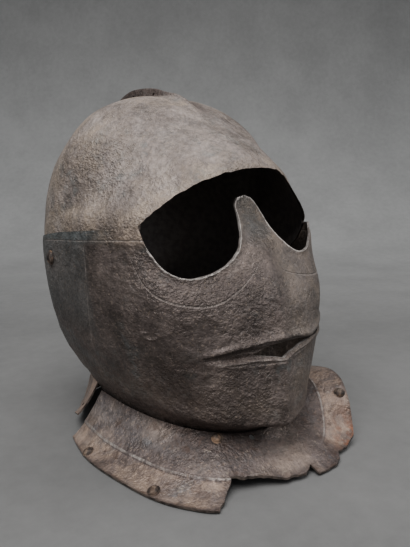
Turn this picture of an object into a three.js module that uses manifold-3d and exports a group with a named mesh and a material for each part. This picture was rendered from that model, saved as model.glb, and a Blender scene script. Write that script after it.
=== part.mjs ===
// Close helmet with a mask visor: a combed skull in two halves, a face plate on two temple rivets,
// and a flared gorget in two plates. Millimetres, +Z up, the face looks along -Y, the wearer's right is -X.
import * as THREE from 'three'
import Module from 'manifold-3d'
import { mergeVertices } from 'three/addons/utils/BufferGeometryUtils.js'

const wasm = await Module()
wasm.setup()

// Skull: half width at the temples, reach forward to the brow, rise to the crown, reach back to the nape,
// and drop to where the closed form would end far below the neck.
const skullHalfWidth = 109.2
const skullForward = 147
const skullRise = 110
const skullBack = 124
const skullDrop = 205
const skullWall = 1.9
// The axis between the temples, from the middle of the base and from the ground.
const templeY = 21
const templeZ = 198
const skullRimZ = 38

// Side form of the skull: degrees round the temple axis (0 forward, 90 up), the reach as a share of the
// ellipse through the four sizes above, and the fullness of the section.
const skullForm = [
  [-90, 1.0, 2.0],
  [-60, 1.0, 2.1],
  [-30, 0.98, 2.4],
  [-8, 0.985, 2.55],
  [0, 0.992, 2.43],
  [8, 1.009, 1.99],
  [12, 1.02, 1.81],
  [15.4, 1.03, 1.72],
  [22, 0.975, 1.76],
  [30, 0.918, 1.88],
  [40, 0.885, 2.05],
  [50, 0.885, 2.3],
  [62, 0.928, 2.42],
  [75, 0.975, 2.42],
  [90, 0.995, 2.28],
  [104, 1.03, 2.0],
  [118, 1.085, 1.82],
  [135, 1.12, 1.76],
  [155, 1.065, 1.82],
  [180, 1.0, 1.95],
  [200, 1.005, 2.1],
  [213, 1.015, 2.1],
  [231, 0.952, 2.1],
  [240, 0.93, 2.05],
  [250, 0.955, 2.0],
  [270, 1.0, 2.0],
]

// Comb: the raised seam of the two halves. Degrees round the temple axis and share of the comb height.
const combHeight = 20
const combHalfWidth = 2.1
const combRoot = 10
const combForm = [
  [44, -0.1],
  [50, 0.02],
  [60, 0.09],
  [70, 0.16],
  [86, 0.31],
  [96, 0.55],
  [104, 0.7],
  [112, 0.82],
  [124, 0.97],
  [134, 1.0],
  [146, 0.9],
  [158, 0.6],
  [168, 0.3],
  [178, 0.05],
  [184, -0.1],
]
const combSteps = 30
// Half section of the comb: spread of the root and share of the height.
const combSection = [
  [1, -0.1],
  [0.5, 0.14],
  [0.15, 0.45],
  [0, 1],
]
const seamGap = 0.36
// Lace holes through the comb: degrees round the temple axis, share of the height, and radius.
const combHoleRadius = 1.6
const combHoles = [
  [94.5, 0.44],
  [112.7, 0.5],
]

// Brow edge as seen from the front: shares of the skull half width and of the temple height.
const browOutline = [
  [-0.8, 0.962],
  [-0.791, 0.972],
  [-0.725, 1.026],
  [-0.598, 1.087],
  [-0.472, 1.135],
  [-0.317, 1.176],
  [-0.188, 1.191],
  [-0.045, 1.196],
  [0.103, 1.194],
  [0.228, 1.183],
  [0.32, 1.163],
  [0.43, 1.135],
  [0.56, 1.09],
  [0.68, 1.035],
  [0.76, 0.985],
  [0.8, 0.962],
]

// Front edge of the skull behind the face plate, from the side: shares of the forward reach and of the
// temple height.
const cheekOutline = [
  [-0.714, 0.962],
  [-0.62, 0.889],
  [-0.449, 0.808],
  [-0.333, 0.707],
  [-0.293, 0.556],
  [-0.28, 0.15],
]

// Face plate: height of the nasal tip, half width at the temples, reach forward of the temple axis to the
// chin, depth of the soft medial keel and its spread to each side.
const maskHeight = 215.2
const maskStandOff = 4.8
const maskHalfWidth = skullHalfWidth + maskStandOff
const maskReach = 174.3
const maskBack = 126
const maskRearY = 48
const maskWall = 1.8
const keelDepth = 8
const keelSpread = 70

// Face plate rings: height in front and at the rear as shares of the height, half width and reach as shares,
// fullness of the section, keel as a share of its depth.
const maskForm = [
  [0.112, 0.165, 0.615, 0.815, 2.4, 0.5],
  [0.153, 0.2, 0.65, 0.86, 2.4, 0.7],
  [0.19, 0.262, 0.71, 0.958, 2.3, 0.95],
  [0.207, 0.279, 0.735, 1.0, 2.3, 1.0],
  [0.232, 0.3, 0.76, 1.0, 2.35, 1.0],
  [0.29, 0.335, 0.8, 0.995, 2.4, 1.0],
  [0.353, 0.375, 0.845, 0.987, 2.55, 1.0],
  [0.44, 0.442, 0.895, 0.977, 2.7, 0.95],
  [0.468, 0.469, 0.907, 0.982, 2.7, 0.95],
  [0.497, 0.497, 0.92, 0.973, 2.75, 0.95],
  [0.54, 0.54, 0.94, 0.96, 2.82, 0.95],
  [0.604, 0.604, 0.962, 0.951, 2.88, 0.95],
  [0.669, 0.669, 0.98, 0.929, 2.88, 0.95],
  [0.734, 0.734, 0.992, 0.888, 2.85, 0.9],
  [0.799, 0.799, 0.998, 0.842, 3.0, 0.85],
  [0.864, 0.864, 1.0, 0.79, 3.35, 0.8],
  [0.929, 0.929, 0.998, 0.735, 3.4, 0.75],
  [1.003, 1.003, 0.99, 0.694, 3.4, 0.7],
]

// Turn of the side profile of the face plate: angles from the keel to the temple, in degrees.
const maskTurns = [0, 3, 8, 14, 21, 29, 38, 47, 56, 65, 74, 82, 90]
const maskRearShares = [0.5, 1]

// Openings of the face plate as seen from the front: shares of its half width and of its height.
const rightEye = [
  [-0.773, 0.894],
  [-0.768, 0.861],
  [-0.743, 0.82],
  [-0.696, 0.769],
  [-0.63, 0.737],
  [-0.553, 0.726],
  [-0.458, 0.735],
  [-0.343, 0.757],
  [-0.256, 0.785],
  [-0.2, 0.806],
  [-0.154, 0.836],
  [-0.111, 0.88],
  [-0.086, 0.928],
  [-0.087, 0.966],
  [-0.052, 0.993],
  [-0.008, 1.001],
]
const leftEye = [
  [0.03, 1.001],
  [0.075, 0.992],
  [0.108, 0.972],
  [0.138, 0.936],
  [0.163, 0.894],
  [0.205, 0.858],
  [0.251, 0.832],
  [0.306, 0.808],
  [0.38, 0.793],
  [0.458, 0.791],
  [0.53, 0.797],
  [0.592, 0.812],
  [0.652, 0.84],
  [0.705, 0.872],
  [0.773, 0.894],
]
const mouthSlit = [
  [-0.222, 0.461],
  [-0.109, 0.45],
  [-0.004, 0.4405],
  [0.075, 0.451],
  [0.182, 0.465],
  [0.35, 0.479],
  [0.153, 0.492],
  [0.005, 0.498],
  [-0.093, 0.488],
  [-0.169, 0.473],
]

// Top and rear edge of the face plate from the side: shares of its reach (behind the temple axis positive)
// and of its height.
const maskTopEdge = [
  [-0.645, 0.894],
  [-0.47, 0.885],
  [-0.33, 0.877],
  [-0.12, 0.866],
  [0.04, 0.852],
  [0.125, 0.842],
]
const maskRearEdge = [
  [0.152, 0.815],
  [0.15, 0.68],
  [0.135, 0.53],
  [0.098, 0.39],
  [0.05, 0.29],
  [-0.02, 0.21],
  [-0.06, 0.15],
]

// Gorget: half width and reach of the rim, lift of the bent far side, wall, and the gaps to what its plates ring.
const gorgetHalfWidth = 112
const gorgetReach = 172
const gorgetLift = 48
const gorgetWall = 1.6
const borderStep = 0.9
const frontGap = 1.95
const rearGap = 1.55
const rimHeight = 1.6
const plateFlare = 1.45
const liftedFlare = 1.2

// Front gorget from its right edge round to its left: place along the plate, turn of the throat that it
// springs from, rim (x, y) as shares of half width and reach, lift share, and how deep its border is sunk.
const frontRim = [
  [0, -87, -0.938, 0.058, 0.0, 1],
  [0.05, -80, -0.97, -0.046, 0.0, 1],
  [0.12, -70, -1.0, -0.21, 0.0, 1],
  [0.2, -56, -0.973, -0.419, 0.0, 1],
  [0.28, -42, -0.888, -0.686, 0.0, 1],
  [0.35, -31, -0.759, -0.849, 0.0, 1],
  [0.42, -22, -0.6, -0.95, 0.0, 1],
  [0.48, -13, -0.35, -0.985, -0.02, 0.3],
  [0.54, -3, -0.07, -1.0, -0.03, 0],
  [0.6, 8, 0.22, -1.0, -0.03, 0],
  [0.66, 18, 0.48, -0.975, -0.02, 0],
  [0.71, 26, 0.69, -0.905, 0.02, 1],
  [0.74, 30, 0.775, -0.86, 0.14, 1],
  [0.78, 36, 0.848, -0.808, 0.36, 1],
  [0.82, 41, 0.875, -0.773, 0.65, 1],
  [0.855, 46, 0.933, -0.706, 0.86, 1],
  [0.89, 52, 1.009, -0.622, 0.94, 1],
  [0.92, 59, 1.054, -0.517, 0.96, 1],
  [0.95, 68, 1.06, -0.36, 0.86, 1],
  [0.975, 77, 1.03, -0.17, 0.66, 1],
  [1, 87, 0.955, 0.055, 0.42, 1],
]
const frontSteps = 34
const plateShares = [0, 0.14, 0.34, 0.55, 0.59, 0.78, 1]
const borderShare = 0.57

// Broken front edge from above, from right to left, as shares of half width and reach.
const brokenEdge = [
  [-0.64, -0.945],
  [-0.411, -0.843],
  [-0.33, -0.87],
  [-0.223, -0.89],
  [-0.071, -0.936],
  [0.107, -0.953],
  [0.19, -0.925],
  [0.21, -0.972],
  [0.384, -0.965],
  [0.482, -0.936],
  [0.53, -0.9],
  [0.62, -0.888],
  [0.72, -0.868],
  [0.79, -0.857],
  [0.95, -0.95],
]

// Rear gorget round the nape from right to left: place, bearing at the neck in degrees (0 is straight
// back), rim (x, y) as shares and lift share.
const rearRim = [
  [0, -92, -0.78, 0.09, 0.34],
  [0.05, -87, -0.775, 0.16, 0.28],
  [0.1, -80, -0.755, 0.25, 0.17],
  [0.17, -68, -0.69, 0.345, 0.08],
  [0.26, -50, -0.56, 0.49, 0.03],
  [0.38, -26, -0.34, 0.66, 0.0],
  [0.5, 0, 0.0, 0.745, 0.0],
  [0.62, 26, 0.34, 0.66, 0.0],
  [0.74, 50, 0.56, 0.49, 0.03],
  [0.83, 68, 0.69, 0.345, 0.08],
  [0.9, 80, 0.755, 0.25, 0.17],
  [0.95, 87, 0.775, 0.16, 0.28],
  [1, 92, 0.78, 0.09, 0.34],
]
const rearSteps = 24
const rearShares = [0, 0.14, 0.34, 0.6, 1]
const collarRise = 6

// Rivets: radius of shank, head and inner peen, rise of the head and thickness of the peen, and the
// clearance round the shank and under the head.
const rivetShank = 1.6
const rivetHead = 4.4
const rivetDome = 2.8
const pivotShank = 2.4
const pivotHead = 5.2
const pivotDome = 3.2
const rivetClearance = 0.3
const peenThick = 0.8
const rivetSides = 14
// Rivets of the front gorget: the facet each one sits on, counted along the plate and from throat to rim.
const borderRivets = {
  border_rivet_side: [3, 5],
  border_rivet_front: [9, 5],
  border_rivet_far: [28, 5],
  throat_rivet: [13, 0],
}
const throatHole = [17, 0]
const throatHoleRadius = 2.2
// Slack of the temple rivets where they pass the slope of the skull.
const pivotPlay = 1.1
// Temple axis of the face plate: from the temple point of the forms, back and down.
const pivotBack = 1.5
const pivotDown = 35

// Distances within which vertices are taken as one.
const weldFine = 1e-4
const weldCoarse = 0.01

const lerp = (a, b, t) => a + (b - a) * t

// Value of each column of a table at x, on a smooth curve through its rows.
function along(table, x) {
  const last = table.length - 1
  let i = 0
  while (i < last - 1 && x > table[i + 1][0]) i += 1
  const [a, b] = [table[i], table[i + 1]]
  const before = table[Math.max(i - 1, 0)]
  const after = table[Math.min(i + 2, last)]
  const step = b[0] - a[0]
  const t = Math.min(Math.max((x - a[0]) / step, 0), 1)
  const t2 = t * t
  const t3 = t2 * t
  return a.slice(1).map((value, k) => {
    const next = b[k + 1]
    const slopeA = (next - before[k + 1]) / (b[0] - before[0]) * step
    const slopeB = (after[k + 1] - value) / (after[0] - a[0]) * step
    return (2 * t3 - 3 * t2 + 1) * value + (t3 - 2 * t2 + t) * slopeA
      + (3 * t2 - 2 * t3) * next + (t3 - t2) * slopeB
  })
}

const radians = (degrees) => degrees * Math.PI / 180
const range = (count) => Array.from({ length: count }, (_, i) => i)

// Closed geometry from points and triangles, with shared vertices.
function meshOf(points, triangles) {
  const geometry = new THREE.BufferGeometry()
  geometry.setAttribute('position', new THREE.Float32BufferAttribute(points.flatMap((p) => [p.x, p.y, p.z]), 3))
  geometry.setIndex(triangles.flat())
  return geometry
}

// Closed plate between two grids of points: rows from one border to the other, every row an open line.
function plate(outer, inner) {
  const rows = outer.length
  const columns = outer[0].length
  const points = [...outer.flat(), ...inner.flat()]
  const top = (j, i) => j * columns + i
  const low = (j, i) => rows * columns + j * columns + i
  const triangles = []
  for (const j of range(rows - 1)) {
    for (const i of range(columns - 1)) {
      triangles.push([top(j, i), top(j, i + 1), top(j + 1, i + 1)], [top(j, i), top(j + 1, i + 1), top(j + 1, i)])
      triangles.push([low(j, i), low(j + 1, i + 1), low(j, i + 1)], [low(j, i), low(j + 1, i), low(j + 1, i + 1)])
    }
    const end = columns - 1
    triangles.push([top(j, 0), top(j + 1, 0), low(j + 1, 0)], [top(j, 0), low(j + 1, 0), low(j, 0)])
    triangles.push([top(j, end), low(j + 1, end), top(j + 1, end)], [top(j, end), low(j, end), low(j + 1, end)])
  }
  const end = rows - 1
  for (const i of range(columns - 1)) {
    triangles.push([top(0, i), low(0, i + 1), top(0, i + 1)], [top(0, i), low(0, i), low(0, i + 1)])
    triangles.push([top(end, i), top(end, i + 1), low(end, i + 1)], [top(end, i), low(end, i + 1), low(end, i)])
  }
  return meshOf(points, triangles)
}

// Normal of a grid of points at one node, from its neighbours.
function normalAt(grid, j, i) {
  const rows = grid.length
  const columns = grid[0].length
  const across = grid[j][Math.min(i + 1, columns - 1)].clone().sub(grid[j][Math.max(i - 1, 0)])
  const up = grid[Math.min(j + 1, rows - 1)][i].clone().sub(grid[Math.max(j - 1, 0)][i])
  return across.cross(up).normalize()
}

const offsetGrid = (grid, distance) =>
  grid.map((row, j) => row.map((p, i) => p.clone().addScaledVector(normalAt(grid, j, i), distance)))

// Bare geometry with shared vertices and without the triangles that this leaves empty.
function welded(geometry, distance) {
  const bare = geometry.clone()
  for (const name of ['normal', 'uv']) {
    if (bare.getAttribute(name)) bare.deleteAttribute(name)
  }
  const merged = mergeVertices(bare, distance)
  const corners = Array.from(merged.index.array)
  merged.setIndex(corners.filter((_, i) => {
    const [a, b, c] = corners.slice(i - i % 3, i - i % 3 + 3)
    return a !== b && b !== c && c !== a
  }))
  return merged
}

function solidOf(geometry) {
  const whole = welded(geometry, weldFine)
  return new wasm.Manifold(new wasm.Mesh({
    numProp: 3,
    vertProperties: Float32Array.from(whole.getAttribute('position').array),
    triVerts: Uint32Array.from(whole.index.array),
  }))
}

function geometryOf(solid) {
  const mesh = solid.getMesh()
  const geometry = new THREE.BufferGeometry()
  geometry.setAttribute('position', new THREE.Float32BufferAttribute(mesh.vertProperties, 3))
  geometry.setIndex(Array.from(mesh.triVerts))
  const clean = welded(geometry, weldCoarse)
  clean.computeVertexNormals()
  return clean
}

// Reach of the skull ellipse from the temple axis.
function skullReach(degrees, forward, rise, back, drop) {
  const angle = radians(degrees)
  const level = Math.cos(angle) / (Math.cos(angle) > 0 ? forward : back)
  const upright = Math.sin(angle) / (Math.sin(angle) > 0 ? rise : drop)
  return 1 / Math.hypot(level, upright)
}

const skullAngles = [-90, -72, -54, -38, -24, -12, -4, 2, 7, 11, 15.4, 20, 25, 31, 38, 45, 52, 60, 68, 76, 84, 92,
  100, 108, 116, 124, 132, 140, 148, 156, 164, 173, 182, 191, 200, 208, 215, 222, 229, 236, 244, 253, 262]
const skullColumns = 20

// Closed form of the skull, drawn in by a wall thickness.
function skullForm3(inset) {
  const rows = skullAngles.map((degrees) => {
    const [share, fullness] = along(skullForm, degrees)
    const reach = skullReach(degrees, skullForward, skullRise, skullBack, skullDrop) * share - inset
    const halfWidth = skullHalfWidth - inset
    const angle = radians(degrees)
    return range(skullColumns + 1).map((i) => {
      const turn = radians(-90 + 180 * i / skullColumns)
      const x = halfWidth * Math.sign(Math.sin(turn)) * Math.abs(Math.sin(turn)) ** (2 / fullness)
      const r = reach * Math.max(Math.cos(turn), 0) ** (2 / fullness)
      return new THREE.Vector3(x, templeY - r * Math.cos(angle), templeZ + r * Math.sin(angle))
    })
  })
  const points = rows.flat()
  const triangles = []
  const at = (j, i) => (j % rows.length) * (skullColumns + 1) + i
  for (const j of range(rows.length)) {
    for (const i of range(skullColumns)) {
      if (i > 0) triangles.push([at(j, i), at(j, i + 1), at(j + 1, i)])
      if (i < skullColumns - 1) triangles.push([at(j, i + 1), at(j + 1, i + 1), at(j + 1, i)])
    }
  }
  return meshOf(points, triangles)
}

// Block with a side outline (y, z), through the whole width.
function sideCutter(outline, halfWidth) {
  const shape = new THREE.Shape(outline.map(([y, z]) => new THREE.Vector2(y, z)))
  const geometry = new THREE.ExtrudeGeometry(shape, { depth: 2 * halfWidth, bevelEnabled: false })
  geometry.rotateX(Math.PI / 2)
  geometry.rotateZ(Math.PI / 2)
  geometry.translate(-halfWidth, 0, 0)
  return solidOf(geometry)
}

// Mask surface at one ring and one turn.
function maskPoint(row, side, turn, rearShare) {
  const [frontZ, rearZ, wide, deep, fullness, keel] = row
  const halfWidth = maskHalfWidth * wide
  const crest = keelDepth * keel
  const reach = maskReach * deep - crest
  let x = halfWidth
  let y = templeY
  if (rearShare === 0) {
    const s = Math.sin(radians(turn)) ** (2 / fullness)
    const c = Math.max(Math.cos(radians(turn)), 0) ** (2 / fullness)
    x = halfWidth * s
    y = templeY - reach * c - crest * Math.max(1 - x / keelSpread, 0) ** 1.5
  } else {
    const back = (maskRearY - templeY) * rearShare
    y = templeY + back
    x = halfWidth * Math.sqrt(1 - (back / maskBack) ** 2)
  }
  const span = (y - (templeY - reach)) / (maskRearY - templeY + reach)
  const z = maskHeight * lerp(frontZ, rearZ, Math.min(Math.max(span, 0), 1))
  return new THREE.Vector3(side * x, y, z)
}

function maskGrid() {
  return maskForm.map((row) => {
    const turns = maskTurns.map((turn) => [turn, 0])
    const rear = maskRearShares.map((share) => [90, share])
    const half = [...turns, ...rear]
    const right = half.slice().reverse().map(([turn, share]) => maskPoint(row, -1, turn, share))
    const left = half.slice(1).map(([turn, share]) => maskPoint(row, 1, turn, share))
    return [...right, ...left]
  })
}


// Block that follows an outline as seen from the front (x, z), between two depths.
function frontCutter(outline, nearY, farY) {
  const shape = new THREE.Shape(outline.map(([x, z]) => new THREE.Vector2(x, z)))
  const geometry = new THREE.ExtrudeGeometry(shape, { depth: farY - nearY, bevelEnabled: false })
  geometry.rotateX(Math.PI / 2)
  geometry.translate(0, farY, 0)
  return solidOf(geometry)
}

// Line through points, smoothed, as a list of pairs.
function smoothLine(points, divisions) {
  const curve = new THREE.SplineCurve(points.map(([x, z]) => new THREE.Vector2(x, z)))
  return curve.getPoints(divisions).map((p) => [p.x, p.y])
}

const farOut = 400

const halfSpace = (outline) => sideCutter(outline, farOut)

function skullBody() {
  const form = solidOf(skullForm3(0)).add(solidOf(combForm3()))
  const arch = smoothLine(browOutline.map(([x, z]) => [x * skullHalfWidth, z * templeZ]), 30)
  const archEnd = arch[0][1]
  const cheek = cheekOutline.map(([y, z]) => [templeY + y * skullForward, z * templeZ])
  const below = [[farOut, archEnd], [farOut, -farOut], [-farOut, -farOut], [-farOut, archEnd]]
  const brow = frontCutter([...arch, ...below], -farOut, cheek[0][0])
  const face = halfSpace([...cheek, [cheek.at(-1)[0], -farOut], [-farOut, -farOut], [-farOut, cheek[0][1]]])
  const neck = halfSpace([[-farOut, skullRimZ], [-farOut, -farOut], [farOut, -farOut], [farOut, skullRimZ]])
  let body = form.subtract(solidOf(skullForm3(skullWall))).subtract(brow).subtract(face).subtract(neck)
  for (const [degrees, share] of combHoles) {
    const angle = radians(degrees)
    const reach = skullSurface(degrees, 0) + share * combHeight * along(combForm, degrees)[0]
    const centre = new THREE.Vector3(0, templeY - reach * Math.cos(angle), templeZ + reach * Math.sin(angle))
    body = body.subtract(drill(centre, new THREE.Vector3(1, 0, 0), combHoleRadius, 2 * combRoot))
  }
  return body
}

// Distance of the skull surface from the temple axis, on a turn round it and at a distance to the side.
function skullSurface(degrees, x) {
  const [share, fullness] = along(skullForm, degrees)
  const reach = skullReach(degrees, skullForward, skullRise, skullBack, skullDrop) * share
  return reach * (1 - (x / skullHalfWidth) ** fullness) ** (1 / fullness)
}

// Closed fin of the comb, rooted in the wall of the skull.
function combForm3() {
  const first = combForm[0][0]
  const last = combForm.at(-1)[0]
  const count = combSteps
  const rows = range(count + 1).map((j) => {
    const degrees = lerp(first, last, j / count)
    const angle = radians(degrees)
    const height = Math.max(combHeight * along(combForm, degrees)[0], -0.45 * skullWall)
    const half = combSection.map(([wide, high]) => {
      const x = lerp(combHalfWidth, combRoot, wide)
      return [x, skullSurface(degrees, x) + (high < 0 ? -0.5 * skullWall : high * height)]
    })
    const section = [...half.map(([x, r]) => [-x, r]), ...half.slice().reverse()]
    return section.map(([x, r]) => new THREE.Vector3(x, templeY - r * Math.cos(angle), templeZ + r * Math.sin(angle)))
  })
  const across = rows[0].length
  const points = rows.flat()
  const triangles = []
  const at = (j, i) => j * across + (i % across)
  for (const j of range(count)) {
    for (const i of range(across)) {
      triangles.push([at(j, i), at(j, i + 1), at(j + 1, i + 1)], [at(j, i), at(j + 1, i + 1), at(j + 1, i)])
    }
  }
  for (const i of range(across - 2)) {
    triangles.push([at(0, 0), at(0, i + 2), at(0, i + 1)])
    triangles.push([at(count, 0), at(count, i + 1), at(count, i + 2)])
  }
  return meshOf(points, triangles)
}

function maskBody() {
  const outer = maskGrid()
  let body = solidOf(plate(outer, offsetGrid(outer, -maskWall)))
  const toFront = ([x, z]) => [x * maskHalfWidth, z * maskHeight]
  const right = smoothLine(rightEye.map(toFront), 32)
  const left = smoothLine(leftEye.map(toFront), 32)
  const overRight = [[right.at(-1)[0], farOut], [-farOut, farOut], [-farOut, right[0][1]]]
  const overLeft = [[farOut, left.at(-1)[1]], [farOut, farOut], [left[0][0], farOut]]
  body = body.subtract(frontCutter([...right, ...overRight], -farOut, 0))
  body = body.subtract(frontCutter([...left, ...overLeft], -farOut, 0))
  body = body.subtract(frontCutter(mouthSlit.map(toFront), -farOut, 0))
  const toSide = ([y, z]) => [templeY + y * maskReach, z * maskHeight]
  const top = maskTopEdge.map(toSide)
  const rear = [top.at(-1), ...maskRearEdge.map(toSide)]
  body = body.subtract(halfSpace([...top, [farOut, top.at(-1)[1]], [farOut, farOut], [top[0][0], farOut]]))
  const behind = [[rear.at(-1)[0], -farOut], [farOut, -farOut], [farOut, rear[0][1]]]
  return body.subtract(halfSpace([...rear, ...behind]))
}

// Row of the face plate table at a share of the way from its first row to its second.
const throatRow = (share) => maskForm[0].map((value, k) => lerp(value, maskForm[1][k], share))

function outward(point) {
  return new THREE.Vector3(point.x, point.y - templeY, 0).normalize()
}

const frontPoint = (place, share) => {
  const [turn, x, y, lift, border] = along(frontRim, place)
  const neck = maskPoint(throatRow(0.75), Math.sign(turn) || 1, Math.abs(turn), 0)
  neck.addScaledVector(outward(neck), frontGap)
  const rim = new THREE.Vector3(x * gorgetHalfWidth, y * gorgetReach, rimHeight + lift * gorgetLift)
  const p = neck.clone().lerp(rim, share)
  const flare = lerp(plateFlare, liftedFlare, Math.min(Math.max(2 * lift, 0), 1))
  p.z = lerp(rim.z, neck.z, (1 - share) ** flare)
  if (share > borderShare) p.z -= borderStep * Math.min(Math.max(border, 0), 1)
  return p
}

const frontGrid = () => range(frontSteps + 1).map((i) => plateShares.map((share) => frontPoint(i / frontSteps, share)))

// Point of the skull at a height, on a bearing round the temple axis (0 is straight back).
function skullAt(bearing, z) {
  const inside = (reach) => {
    const x = reach * Math.sin(radians(bearing))
    const y = reach * Math.cos(radians(bearing))
    const degrees = THREE.MathUtils.euclideanModulo(Math.atan2(z - templeZ, -y) * 180 / Math.PI + 90, 360) - 90
    const [share, fullness] = along(skullForm, degrees)
    const edge = skullReach(degrees, skullForward, skullRise, skullBack, skullDrop) * share
    return (Math.abs(x) / skullHalfWidth) ** fullness + (Math.hypot(y, z - templeZ) / edge) ** fullness < 1
  }
  let near = 0
  let far = 2 * skullBack
  for (const _ of range(40)) {
    const middle = (near + far) / 2
    if (inside(middle)) near = middle
    else far = middle
  }
  return new THREE.Vector3(near * Math.sin(radians(bearing)), templeY + near * Math.cos(radians(bearing)), z)
}

function rearGrid() {
  return range(rearSteps + 1).map((i) => {
    const [bearing, x, y, lift] = along(rearRim, i / rearSteps)
    const neck = skullAt(bearing, skullRimZ + collarRise)
    neck.addScaledVector(outward(neck), rearGap)
    const low = rimHeight - borderStep
    const rim = new THREE.Vector3(x * gorgetHalfWidth, y * gorgetReach, low + lift * gorgetLift)
    return rearShares.map((share) => {
      const p = neck.clone().lerp(rim, share)
      p.z = lerp(rim.z, neck.z, (1 - share) ** plateFlare)
      return p
    })
  })
}


// Round bar along a direction, centred on a point.
function drill(centre, direction, radius, halfLength) {
  const bar = new THREE.CylinderGeometry(radius, radius, 2 * halfLength, rivetSides)
  return solidOf(placed(bar, centre, direction))
}

function placed(geometry, centre, direction) {
  const turn = new THREE.Quaternion().setFromUnitVectors(new THREE.Vector3(0, 1, 0), direction)
  geometry.applyQuaternion(turn)
  geometry.translate(centre.x, centre.y, centre.z)
  return geometry
}

// Rivet standing on a surface point, head outwards, its shank through a depth of plate.
function rivet(centre, direction, shank, head, dome, depth) {
  const under = rivetClearance
  const deep = -depth - rivetClearance
  const outline = [
    [0, under + dome],
    [0.5 * head, under + 0.86 * dome],
    [0.86 * head, under + 0.5 * dome],
    [head, under],
    [shank, under],
    [shank, deep],
    [head * 0.8, deep],
    [head * 0.8, deep - peenThick],
    [0, deep - peenThick],
  ]
  const profile = outline.reverse().map(([r, y]) => new THREE.Vector2(r, y))
  return solidOf(placed(new THREE.LatheGeometry(profile, rivetSides), centre, direction))
}

const slab = (from, to) => halfSpace([[-farOut, -farOut], [farOut, -farOut], [farOut, farOut], [-farOut, farOut]])
  .scale([(to - from) / (2 * farOut), 1, 1]).translate([(from + to) / 2, 0, 0])

// Middle and normal of one facet of a grid.
function seat(grid, [j, i]) {
  const [a, b, c, d] = [grid[j][i], grid[j][i + 1], grid[j + 1][i + 1], grid[j + 1][i]]
  const centre = a.clone().add(b).add(c).add(d).divideScalar(4)
  const normal = c.clone().sub(a).cross(d.clone().sub(b)).normalize()
  return [centre, normal]
}

let skull = skullBody()
let mask = maskBody()
const rearInside = rearGrid()
const rear = solidOf(plate(offsetGrid(rearInside, gorgetWall), rearInside))

const frontInside = frontGrid()
const frontOutside = offsetGrid(frontInside, gorgetWall)
let front = solidOf(plate(frontOutside, frontInside))
const broken = brokenEdge.map(([x, y]) => new THREE.Vector2(x * gorgetHalfWidth, y * gorgetReach))
const [firstBreak, lastBreak] = [broken[0], broken.at(-1)]
broken.push(new THREE.Vector2(lastBreak.x, -farOut), new THREE.Vector2(firstBreak.x, -farOut))
const breakBlock = new THREE.ExtrudeGeometry(new THREE.Shape(broken), { depth: 2 * farOut, bevelEnabled: false })
front = front.subtract(solidOf(breakBlock.translate(0, 0, -farOut)))

const rivets = {}
for (const [name, facet] of Object.entries(borderRivets)) {
  const [centre, direction] = seat(frontOutside, facet)
  front = front.subtract(drill(centre, direction, rivetShank + rivetClearance, 2 * rivetHead))
  rivets[name] = rivet(centre, direction, rivetShank, rivetHead, rivetDome, gorgetWall)
}
const [holeCentre, holeDirection] = seat(frontOutside, throatHole)
front = front.subtract(drill(holeCentre, holeDirection, throatHoleRadius, 2 * rivetHead))

const pivotY = templeY + pivotBack
const pivotZ = templeZ - pivotDown
for (const [name, side] of [['pivot_rivet_right', -1], ['pivot_rivet_left', 1]]) {
  const skin = maskHalfWidth * along(maskForm.map((row) => [row[0], row[2]]), pivotZ / maskHeight)[0]
  const centre = new THREE.Vector3(side * skin, pivotY, pivotZ)
  const direction = new THREE.Vector3(side, 0, 0)
  const hole = drill(centre, direction, pivotShank + rivetClearance, 4 * pivotShank)
  mask = mask.subtract(hole)
  skull = skull.subtract(hole)
  const skullSkin = skullHalfWidth * Math.sqrt(1 - (pivotDown / skullDrop) ** 2)
  rivets[name] = rivet(centre, direction, pivotShank, pivotHead, pivotDome, skin - skullSkin + skullWall + pivotPlay)
}

const steel = (color, roughness) => new THREE.MeshStandardMaterial({ color, roughness, metalness: 0.7 })
const pieces = {
  skull_right: [skull.subtract(slab(-seamGap / 2, farOut)), steel(0x5b524c, 0.7)],
  skull_left: [skull.subtract(slab(-farOut, seamGap / 2)), steel(0x5b524c, 0.7)],
  mask: [mask, steel(0x4c443f, 0.75)],
  front_gorget: [front, steel(0x6a5f57, 0.7)],
  rear_gorget: [rear, steel(0x6a5f57, 0.7)],
}
for (const [name, solid] of Object.entries(rivets)) pieces[name] = [solid, steel(0x463c36, 0.7)]

// The helmet stands on the ground with the middle of its outline over the origin.
const helmet = new THREE.Group()
for (const [name, [solid, material]] of Object.entries(pieces)) {
  const mesh = new THREE.Mesh(geometryOf(solid), material)
  mesh.name = name
  helmet.add(mesh)
}
const bounds = new THREE.Box3().setFromObject(helmet)
const middle = bounds.getCenter(new THREE.Vector3())
for (const mesh of helmet.children) mesh.geometry.translate(-middle.x, -middle.y, -bounds.min.z)

export default helmet
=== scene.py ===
# %% [markdown]
# # A close helmet with a mask visor
# The helmet is old, hammered steel: a skull in two halves joined along a comb, a face plate cut with
# two eye openings and a mouth, and a flared collar, the gorget, in two plates. Everything is thin
# sheet, so each piece is first shaped as a surface and only then given its wall. The openings are
# cut last, as an armourer cuts them, because a cut edge shows how thin and how bright the metal is.

# %% Tools and the frame
import math

import bmesh
import bpy
import numpy as np
from mathutils import Matrix, Vector, noise


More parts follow.
